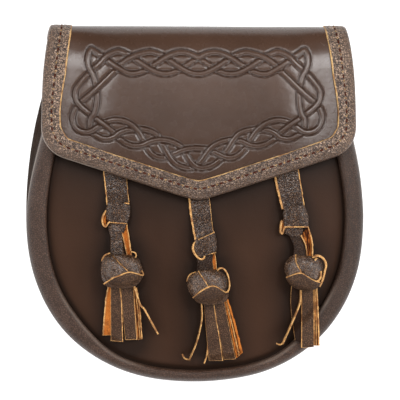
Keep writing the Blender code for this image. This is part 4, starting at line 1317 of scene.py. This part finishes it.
hangers = dict(
    left=dict(top=(-46.3, 34.0), low=(-44.7, -5.5), collar=(14.6, 10.4)),
    middle=dict(top=(-0.4, 14.0), low=(4.0, -23.2), collar=(12.8, 10.4)),
    right=dict(top=(46.3, 34.0), low=(54.6, -7.7), collar=(14.6, 11.4)),
    depth=6.4, coreShare=0.86, coreDepth=0.97, coreSquare=5.0,
)
knots = dict(
    left=dict(centre=(-42.0, -37.0), half=(12.0, 9.5)),
    middle=dict(centre=(5.8, -45.9), half=(12.0, 9.9)),
    right=dict(centre=(59.8, -38.7), half=(11.8, 10.4)),
    depth=5.8, square=2.8, taper=0.22, coreShare=0.90, coreDepth=0.86, shoulder=2.6, lowest=0.10, below=2.2,
    restAcross=0.6, restAlong=(-0.4, 0.0, 0.5),  # shares of its half sizes within which it touches the panel
)


def onPanel(x, y):
    return frontZ(x, y) + patch["gap"]


def restingZ(x, y, reach):
    # the height that something reaching this far to each side rests at
    return onPanel(x + reach * np.linspace(-1.0, 1.0, 5), y).max()


def collarPlace(name):
    # the collar's middle and the direction down its strap
    top, low = np.array(hangers[name]["top"]), np.array(hangers[name]["low"])
    return low, unit(low - top)


def collarFloor(name):
    low, along = collarPlace(name)
    width, height = hangers[name]["collar"]
    return max(restingZ(*(low + along * height * end), width / 2) for end in (-0.5, 0.0, 0.5))


def collarTop(name):
    level = collarFloor(name) + hangers["depth"]
    return lambda x, y: level + 0.0 * x


def knotMiddleZ(name):
    x, y = knots[name]["centre"]
    halfX, halfY = knots[name]["half"]
    reach = halfX * knots["restAcross"]
    return knots["depth"] + max(restingZ(x, y + halfY * share, reach) for share in knots["restAlong"])


def knotTop(name):
    # height of the knot's front: 1 less the distance from its middle to a power, a little under its solid
    x0, y0 = knots[name]["centre"]
    halfX, halfY = knots[name]["half"]
    middle = knotMiddleZ(name)

    def height(x, y):
        py = (y - y0) / halfY
        px = (x - x0) / (halfX * (1.0 + knots["taper"] * np.clip(py, -1.0, 0.0)))
        far = (np.abs(px) ** knots["square"] + np.abs(py) ** knots["square"]) ** (1.0 / knots["square"])
        rise = np.sqrt(np.clip(1.0 - far ** knots["shoulder"], knots["lowest"], 1.0))
        return middle + knots["depth"] * rise - knots["below"]

    return height


def buildCores(name):
    low, along = collarPlace(name)
    half = np.array(hangers[name]["collar"]) / 2 * hangers["coreShare"]
    depth = hangers["depth"] / 2
    lump("wrap_core_" + name, "hanger_" + name, low, half, collarFloor(name) + depth,
         depth * hangers["coreDepth"], hangers["coreSquare"], turn=math.atan2(along[0], -along[1]))
    half = np.array(knots[name]["half"]) * knots["coreShare"]
    lump("knot_core_" + name, "tassel_" + name, knots[name]["centre"], half, knotMiddleZ(name),
         knots["depth"] * knots["coreDepth"], knots["square"], knots["taper"])


# every piece's border lines, in pixels of the 400 x 400 picture. on: what carries it, lift: height above that
# along the way, raw: how wide its cut edges show along the left, right, first and last border, looks: its row
# in skins. What a row leaves out is as in usualRow, or as in leatherPatch and curl. Heights and widths are in
# millimetres

usualRow = dict(
    wrap=dict(on="wrap", lift=(-2.6, -2.3, -2.6), crown=1.5, power=3.0),
    wrap_curl=dict(on="wrap", tall=3.6),
    # the inside of a curl takes the darker flesh look, painted shade
    wrap_inside=dict(on="wrap", lift=(-3.8,), crown=0.0, looks="slot"),
    right_turn=dict(lift=(0.9, 0.6, 0.1), crown=1.3),
    left_turn=dict(lift=(1.5, 1.2, 0.6), crown=1.2, raw=(0, 0.75, 0, 0)),
    # the lower turns take the darker knot look, painted shade
    lower_turn=dict(lift=(3.0, 2.4, 1.6), crown=0.6, raw=(0.7, 0, 0, 0), looks="dull"),
)

tasselPieces = dict(
    left=dict(
        strap=dict(
            left=[(103.2, 164), (104.4, 175), (106, 190), (107.6, 206)],
            right=[(125.0, 164), (126.0, 178), (127.2, 192), (128.8, 206)],
            lift=(0.0, 0.1, 0.8, 3.6), raw=(0.60, 0.42, 0, 0)),
        strap_end=dict(line=[(124.4, 203.0), (128.8, 203.6)], on="wrap", lift=(0.3,), width=0.5, tall=1.5),
        wrap=dict(
            left=[(107.2, 202.4), (106.6, 209), (106.8, 216), (108.4, 221.8)],
            right=[(129.0, 202.6), (129.8, 209), (129.2, 217), (127.0, 223.2)],
            raw=(0, 0, 0, 0.5)),
        wrap_curl=dict(
            line=[(113.8, 220.8), (109.5, 221.8), (107.2, 224.3), (105.4, 226.6), (103.4, 225.4),
                  (102.1, 221.8),
                  (102.6, 216.6), (105.2, 211.8), (107.5, 208.4)],
            lift=(-0.9, -1.0, -1.6), width=0.75),
        wrap_inside=dict(
            left=[(106.6, 225.6), (104.2, 225.6), (102.6, 221.4), (103.2, 216.4), (106.2, 210.8)],
            right=[(109.6, 221.8), (108.2, 220.6), (107.2, 217), (107.0, 213), (107.4, 208.0)]),
        link=dict(
            left=[(107.6, 221.5), (108.6, 230), (110.2, 237), (110.2, 247), (110.6, 259)],
            right=[(126.4, 221.5), (124.6, 230), (122.2, 236), (122.9, 246), (124.9, 259)],
            lift=(3.0, 3.6, 3.4, 4.0, 5.4), crown=0.9, power=2.5),
        flesh=dict(
            left=[(122.0, 232.5), (124.2, 241), (127.8, 256.5)],
            right=[(126.3, 225), (128.3, 239), (130.6, 256.8)],
            lift=(4.0, 4.4, 6.0), crown=-1.6, raw=(0.6, 0.8, 0, 0), looks="flesh"),
    ),
    middle=dict(
        strap=dict(
            left=[(189.6, 192), (190.4, 201), (192, 215.5), (194.2, 229), (196.8, 241.5)],
            right=[(208.6, 192), (209.5, 201), (211, 215), (212.6, 229), (214, 236)],
            lift=(0.0, 0.1, 0.6, 3.0, 4.2), raw=(0.95, 0.30, 0, 0)),
        wrap=dict(
            left=[(196.4, 240.8), (194.2, 245.6), (195.4, 252), (199.4, 257.2), (204.2, 256.0)],
            right=[(214.8, 232.6), (216.2, 239), (216.8, 244), (216.8, 249), (216.2, 252)],
            lift=(-2.4, -2.2, -2.6), crown=1.4, raw=(0, 0, 0.45, 0.45)),
        wrap_curl=dict(
            line=[(197.0, 240.8), (194, 244.4), (193.1, 248.6), (194.4, 253), (197.6, 257.2), (201, 259.4),
                  (204, 258.4), (204.6, 255.6), (205.6, 253.8), (208.3, 252.8)],
            lift=(-1.2, -1.2, -0.9), width=0.95),
        link=dict(
            left=[(198.4, 252), (197.2, 262), (197.2, 273)],
            right=[(213.2, 250), (212.6, 262), (213.0, 273)],
            lift=(2.4, 3.4, 5.6), crown=0.6, looks="neck"),
        flesh=dict(
            left=[(212.2, 257.5), (213.0, 264), (214.6, 272)],
            right=[(214.4, 251.5), (215.8, 262), (216.4, 271.8)],
            lift=(2.8, 3.8, 5.8), crown=-0.8, raw=(0.4, 0.5, 0, 0), looks="flesh"),
    ),
    right=dict(
        strap=dict(
            left=[(274.6, 164), (276.7, 176.5), (280, 192), (284.2, 209)],
            right=[(297.6, 162), (299, 172.7), (301.8, 189), (304.8, 207)],
            lift=(0.0, 0.2, 1.6, 4.2), raw=(1.0, 0.6, 0, 0)),
        wrap=dict(
            left=[(284.2, 206.5), (284.8, 213), (284.4, 220), (284.8, 226.4)],
            right=[(305.0, 205.6), (308, 212), (309.4, 219), (309.4, 226.6)],
            raw=(0, 0, 0, 0.6)),
        wrap_curl=dict(
            line=[(289, 226.6), (285.8, 227.4), (284.2, 230.6), (283.0, 234.0), (281.4, 231.8), (281.4, 228),
                  (282.0, 223.6), (283.0, 220.8)],
            lift=(-0.9, -1.2, -1.8), width=0.8),
        wrap_inside=dict(
            left=[(283.6, 233), (282.2, 230), (282.4, 225), (284, 219)],
            right=[(286.4, 228), (285.6, 226.6), (285.2, 223), (285.2, 217)]),
        second_wrap=dict(
            left=[(285.4, 225.5), (284.8, 230.5), (286.6, 233.8), (290, 236)],
            right=[(303.4, 225.5), (303.6, 230.5), (302.8, 234), (301.4, 236.8)],
            on="wrap", lift=(-4.2, -4.0, -4.6), crown=1.0),
        link=dict(
            left=[(289, 233), (294.4, 245), (294.8, 259)],
            right=[(301.6, 233), (305.0, 245), (307.2, 259)],
            lift=(2.0, 3.0, 5.0), crown=0.5, looks="neck"),
        flesh=dict(
            left=[(302.2, 235.2), (306.9, 244.7), (309.2, 260.4)],
            right=[(308.6, 226.9), (312.7, 243.4), (312.4, 260.4)],
            lift=(3.8, 4.4, 6.0), crown=-1.8, raw=(0.6, 0.9, 0, 0), looks="slot"),
    ),
)
knotPieces = dict(
    left=dict(
        right_turn=dict(
            left=[(112.4, 255.4), (118.9, 262.8), (127.0, 271), (129.4, 274)],
            right=[(125, 254.4), (132.4, 256.6), (138.6, 261.6), (142.2, 268.6), (143.0, 275.2)],
            lift=(0.9, 0.5, 0.0)),
        left_turn=dict(
            left=[(110.4, 254.6), (105, 256.8), (101.6, 262.5), (100.8, 270.5), (102, 279), (104.9, 285)],
            right=[(112.2, 255.6), (118.6, 262.9), (126.2, 270.4), (127.8, 272.6), (120, 276.8),
                   (107.4, 285)]),
        lower_turn=dict(
            left=[(104.0, 284.6), (112.8, 278.8), (120, 276), (128.6, 272.9), (138, 274.8), (142.8, 276)],
            right=[(105.0, 285.6), (110, 287.4), (120, 288.0), (131, 287.6), (138.0, 283.8), (141.8, 278.6)]),
        left_curl=dict(line=[(109.6, 253.1), (105.2, 255.0), (102.6, 258.4), (101.8, 261.4)],
                       lift=(1.8, 1.4), width=0.75, tall=2.6),
        right_curl=dict(line=[(131.2, 251.8), (134.4, 252.6), (136, 255.2), (135.2, 257.6)],
                        lift=(2.4, 2.2), width=0.55, tall=2.6),
        side_curl=dict(line=[(138.6, 275), (141.6, 276.0), (143.2, 274.2), (141.4, 270.8)],
                       lift=(3.0, 2.8), width=0.55, tall=2.6),
    ),
    middle=dict(
        right_turn=dict(
            left=[(198.4, 271.4), (203.2, 279), (207.6, 286.4), (209.4, 288.8)],
            right=[(215.6, 269.6), (220, 272.5), (223.2, 281), (225.4, 293)]),
        left_turn=dict(
            left=[(197, 272.2), (191.4, 274.6), (188.2, 279), (187.4, 285), (189.4, 292), (193.8, 298.6)],
            right=[(198, 271.4), (202.6, 278.6), (207.2, 285.8), (208.2, 288.4), (203.4, 291.6),
                   (196, 298.4)]),
        lower_turn=dict(
            left=[(193.2, 298.6), (198.1, 294.2), (208.4, 288), (215.6, 287.3), (225.4, 292.9),
                  (228.8, 292.6)],
            right=[(194.2, 299.6), (198.6, 303), (208, 304.8), (219, 304.4), (226.0, 301.6), (228.7, 296.4)]),
        left_curl=dict(line=[(196, 272.5), (190.4, 274.7), (188.2, 278.2), (187.2, 281.8)],
                       lift=(2.0, 1.6), width=0.6, tall=2.4),
        right_curl=dict(line=[(216.6, 272.6), (218.8, 269.4), (222.6, 268.4), (226.2, 271.6), (228.6, 277),
                              (229.8, 284), (229, 290), (226.2, 292.8), (222.4, 291.2)],
                        lift=(2.2, 2.2, 2.6), width=0.7, tall=3.0),
    ),
    right=dict(
        right_turn=dict(
            left=[(297, 255), (297.4, 261.4), (299.4, 266.6), (303, 275)],
            right=[(311, 257.4), (318.4, 261.6), (321.8, 268), (320.6, 281)]),
        left_turn=dict(
            left=[(294.4, 255.4), (289.8, 258.4), (286.2, 264), (285.4, 270), (287.8, 278.4)],
            right=[(295.6, 255), (296.0, 261.1), (298.0, 266.4), (300.8, 272.6), (295.2, 276.2),
                   (289.6, 278.6)],
            raw=(0, 0.8, 0, 0)),
        lower_turn=dict(
            left=[(287.0, 278.4), (295.2, 275.2), (302.4, 274.2), (308.6, 277.6), (315.3, 281.6),
                  (321, 283.4)],
            right=[(287.6, 280.2), (291.2, 285.4), (299, 289.6), (309, 291.0), (316.4, 289.6),
                   (321.0, 286.0)],
            raw=(0.6, 0, 0, 0)),
        right_curl=dict(line=[(313.3, 257.6), (319.3, 256.1), (324.7, 259.1), (327.3, 265.1), (326, 271.8),
                              (324, 279.8), (320.6, 287)],
                        lift=(2.2, 2.4, 2.4), width=1.0, tall=3.4),
        inner_curl=dict(line=[(315.4, 261.2), (317.8, 258.4)], lift=(2.4,), width=0.9, tall=2.4),
        side_curl=dict(line=[(315.3, 281.8), (319.2, 281.3), (321.9, 277.4), (322.1, 271.6)],
                       lift=(2.8, 2.4), width=0.8, tall=2.6),
    ),
)
fringePieces = dict(
    left=dict(
        strip_1=dict(left=[(109.0, 284), (106.0, 303), (103.3, 335)],
                     right=[(110.4, 284), (111.0, 305), (110.2, 335)],
                     lift=(3.0, 1.0, 0.3, 0.3), crown=-0.6, raw=(0.7, 0.3, 0, 0.3), looks="flesh"),
        strip_2=dict(left=[(110.6, 284), (110.8, 312), (110.9, 340.5)],
                     right=[(118.6, 284), (120.6, 300), (121.2, 318), (122.0, 341.5)],
                     lift=(4.0, 2.2, 1.6, 1.4), raw=(0.2, 0.5, 0, 0.3)),
        strip_3=dict(left=[(120.4, 284), (122.6, 312), (125.3, 339.6)],
                     right=[(132.8, 284), (134.2, 310), (136.2, 339.4)],
                     lift=(4.0, 2.2, 1.6, 1.4), raw=(0.15, 0.45, 0, 0.3)),
        strip_4=dict(left=[(133.6, 288), (136.0, 318), (137.8, 339.6)],
                     right=[(135.4, 288), (138.4, 306), (141.2, 339)],
                     lift=(3.4, 1.6, 0.8, 0.6), crown=-1.0, raw=(0.3, 0.75, 0, 0.3), looks="slot"),
        strip_4_edge=dict(line=[(134.4, 288), (137.6, 310), (139.8, 338.4)], lift=(4.0, 2.4, 1.5, 1.2),
                          width=0.50, tall=1.6),
        strip_5=dict(line=[(133.4, 284), (139.9, 304), (144.2, 309.4), (151, 321.6), (158, 334.4)],
                     lift=(7.4, 6.4, 5.8, 5.4), width=0.75, tall=4.4),
    ),
    middle=dict(
        strip_1=dict(line=[(201.6, 301), (202.3, 316.1), (200.9, 327.4), (196.7, 343.5), (189.6, 360.4)],
                     lift=(6.6, 5.4, 5.0, 4.8), width=0.45, tall=4.2),
        strip_1_end=dict(line=[(190.0, 360), (186.4, 359.6), (184, 358.2), (182.3, 354.7)], lift=(1.6,),
                         width=0.6, tall=1.4),
        strip_2=dict(line=[(208.2, 342), (207.2, 354.7), (204.4, 363.9)], lift=(2.6, 2.2),
                     width=0.5, tall=2.0),
        strip_3=dict(left=[(203.9, 301), (205.8, 325), (209.3, 361)],
                     right=[(213.2, 301), (215.6, 318.9), (219.1, 337.9), (222.4, 361)],
                     lift=(4.0, 2.2, 1.6, 1.4), raw=(0.12, 0.45, 0, 0.2)),
        strip_4=dict(left=[(213.8, 301), (217.8, 325), (224.4, 359.8)],
                     right=[(224, 301), (228.6, 325), (235.6, 359.4)],
                     lift=(3.6, 1.8, 1.2, 1.0), raw=(0.12, 0.25, 0, 0.25)),
        strip_5=dict(left=[(225.2, 300), (230.4, 323), (237.2, 357.6)],
                     right=[(226.6, 300), (233.0, 321), (241.6, 354)],
                     lift=(4.0, 2.0, 1.4, 1.2), crown=-1.2, raw=(0.5, 1.2, 0, 0.3), looks="ember"),
        strip_5_edge=dict(line=[(226.0, 300), (231.8, 323), (239.4, 356)], lift=(4.6, 2.9, 2.1, 1.8),
                          width=0.50, tall=1.6),
    ),
    right=dict(
        strip_0=dict(left=[(292.4, 286), (291.6, 303), (293.4, 322), (296, 341)],
                     right=[(301.4, 286), (302.2, 310), (302.8, 344)],
                     lift=(2.6, 1.0, 0.4, 0.3), raw=(0.12, 0, 0, 0), looks="shaded"),
        strip_1=dict(line=[(301.9, 286), (301.2, 302.6), (295.2, 318.7), (283.8, 344.1)],
                     lift=(7.0, 6.0, 5.6, 5.2), width=0.6, tall=4.4),
        strip_1_end=dict(line=[(284.2, 343.8), (280.4, 345.4), (277.1, 344.1)], lift=(1.6,),
                         width=0.6, tall=1.4),
        strip_3=dict(left=[(302.8, 286), (302.9, 318), (302.9, 348.4)],
                     right=[(313.8, 286), (314.2, 318), (314.6, 347.6)],
                     lift=(4.4, 2.4, 1.6, 1.4), raw=(0.4, 0.12, 0, 0.2)),
        strip_4=dict(left=[(315.6, 284), (315.6, 318), (315.4, 346)],
                     right=[(317.0, 284), (318.6, 318), (319.4, 346)],
                     lift=(4.0, 2.0, 1.4, 1.2), crown=-1.2, raw=(0.6, 0.75, 0, 0.3), looks="slot"),
        strip_4_edge=dict(line=[(316.4, 286), (317.0, 318), (317.2, 345.6)], lift=(4.6, 2.8, 2.0, 1.8),
                          width=0.45, tall=1.6),
    ),
)
# looks of a patch: its face, its cut edges and its underside
skins = dict(
    # the slot and ember faces are the darker flesh look, painted shade
    flesh=[flesh, tasselEdge, grained], slot=[deepSkin, tasselEdge, grained],
    ember=[deepSkin, flesh, grained],
)
fronts = dict(
    # dull, neck and shaded are darker copies of the tassel leather, painted shade
    dull=dullSkin, shaded=shadedSkin, knot=knotSkin, fringe=fringeSkin, strap=grained, neck=neckSkin,
)
for name, front in fronts.items():
    skins[name] = [front, tasselEdge, flesh]


def buildTassel(name):
    buildCores(name)
    carriers = dict(panel=onPanel, wrap=collarTop(name), knot=knotTop(name))
    groups = (("hanger", tasselPieces, "panel", "strap"), ("tassel", knotPieces, "knot", "knot"),
              ("tassel", fringePieces, "panel", "fringe"))
    for body, table, carrier, usual in groups:
        for piece, row in table[name].items():
            row = usualRow.get(piece, {}) | row
            names = piece + "_" + name, body + "_" + name
            on = carriers[row.pop("on", carrier)]
            if "line" in row:
                curl(*names, on=on, **row)
            else:
                leatherPatch(*names, on=on, looks=skins[row.pop("looks", usual)], **row)


for side in ("left", "middle", "right"):
    buildTassel(side)
print("tassels made")


# belt loops and stud on the hidden sides

beltLoop = dict(
    wall=1.6, pad=8.0, ramp=4.0, rounding=3, edgeRound=0.5, rows=(2.0, 6.0), pitch=4.7, stitchSize=0.85,
)


def buildLoop(side):
    # a strap sewn down at both ends, its line rounded by averaging over so many points to either side
    b = beltLoop
    low, high = cadBox("belt_loop_" + side)
    middle, half = (low + high) / 2, (high - low) / 2
    padZ, lowZ = high[2] - b["wall"] / 2, low[2] + b["wall"] / 2
    y = np.linspace(low[1], high[1], 101)
    rampEnd = half[1] - b["pad"]
    z = np.interp(np.abs(y - middle[1]), (rampEnd - b["ramp"], rampEnd), (lowZ, padZ))
    window = 2 * b["rounding"] + 1
    z = np.convolve(np.pad(z, b["rounding"], mode="edge"), np.full(window, 1 / window), mode="valid")
    outwards = unit(np.column_stack([-np.gradient(z), np.gradient(y)]))
    r = b["edgeRound"]
    turn = np.radians(np.linspace(0, 90, 4))
    corner = np.column_stack([half[0] - r + r * np.cos(turn), b["wall"] / 2 - r + r * np.sin(turn)])
    across, out = np.vstack([corner, corner[::-1] * (-1, 1), -corner, corner[::-1] * (1, -1)]).T
    x = middle[0] + across + 0 * y[:, None]
    flat = np.column_stack([y, z])[:, None] + outwards[:, None] * out[:, None]
    rings = np.concatenate([x[..., None], flat], axis=-1)
    cut = np.abs(across) > half[0] - r / 2
    carried("belt_loop_sewn_" + side, rings, [smooth, rawEdge], "belt_loop_" + side,
            (cut & np.roll(cut, -1)).astype(int))
    rows = [low[1] + row for row in b["rows"]] + [high[1] - row for row in b["rows"]]
    columns = [middle[0] + n * b["pitch"] for n in (-1, 0, 1)]
    places = np.array([(column, row, high[2] - b["wall"]) for row in rows for column in columns])
    along, up = (np.tile(way, (len(places), 1)) for way in ((1.0, 0.0, 0.0), (0.0, 0.0, -1.0)))
    repeated("loop_stitches_" + side, stitchShape() * b["stitchSize"], places, along, up, thread)


for side in ("left", "right"):
    buildLoop(side)
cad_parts["closure_stud"].material_slots[0].material = studLook()


# floor, lights and world

studio = dict(
    floorSize=6.0, floorZ=-0.05, floorGlow=0.62, world=0.05,
    # tilt: degrees off straight up towards +X and towards +Y, size: metres across and along
    lights=(
        dict(name="strip_left", tilt=(-16.0, 19.5), distance=1.3, size=(0.26, 0.44), radiance=18.5),
        dict(name="strip_right", tilt=(26.0, 19.5), distance=1.3, size=(0.30, 0.44), radiance=18.5),
        dict(name="ridge", tilt=(4.0, 21.0), distance=1.3, size=(0.60, 0.20), radiance=3.4),
        dict(name="overhead", tilt=(4.0, 4.0), distance=2.4, size=(2.6, 2.4), radiance=0.18),
        dict(name="side_left", tilt=(-58.0, 0.0), distance=1.3, size=(0.70, 1.30), radiance=4.8),
        dict(name="side_right", tilt=(58.0, 0.0), distance=1.3, size=(0.70, 1.30), radiance=4.8),
        dict(name="top", tilt=(0.0, 34.0), distance=1.3, size=(1.00, 0.50), radiance=0.35),
        dict(name="bottom", tilt=(0.0, -46.0), distance=1.3, size=(1.20, 0.50), radiance=5.1),
    ),
)


def addLight(name, tilt, distance, size, radiance):
    # a rectangle that faces the pouch: its power is radiance x area x pi
    data = bpy.data.lights.new(name, "AREA")
    data.shape = "RECTANGLE"
    data.size, data.size_y = size
    data.energy = radiance * size[0] * size[1] * math.pi
    lamp = bpy.data.objects.new(name, data)
    away = Vector((math.tan(math.radians(tilt[0])), math.tan(math.radians(tilt[1])), 1.0)).normalized()
    across = Vector((0.0, 1.0, 0.0)).cross(away).normalized()
    lamp.location = away * distance
    lamp.rotation_euler = Matrix((across, away.cross(across), away)).transposed().to_euler()
    bpy.context.scene.collection.objects.link(lamp)


def buildStudio():
    mesh = bpy.data.meshes.new("floor")
    half, level = studio["floorSize"] / 2, studio["floorZ"] * mm
    corners = [(-half, -half, level), (half, -half, level), (half, half, level), (-half, half, level)]
    mesh.from_pydata(corners, [], [(0, 1, 2, 3)])
    mesh.materials.append(floorLook())
    floor = bpy.data.objects.new("floor", mesh)
    bpy.context.scene.collection.objects.link(floor)
    for light in studio["lights"]:
        addLight(**light)
    world = bpy.data.worlds.new("studio")
    world.use_nodes = True
    world.node_tree.nodes["Background"].inputs[0].default_value = (1.0, 1.0, 1.0, 1.0)
    world.node_tree.nodes["Background"].inputs[1].default_value = studio["world"]
    bpy.context.scene.world = world
    bpy.context.scene.view_settings.view_transform = "Standard"


buildStudio()
addCamera()
print("studio ready")
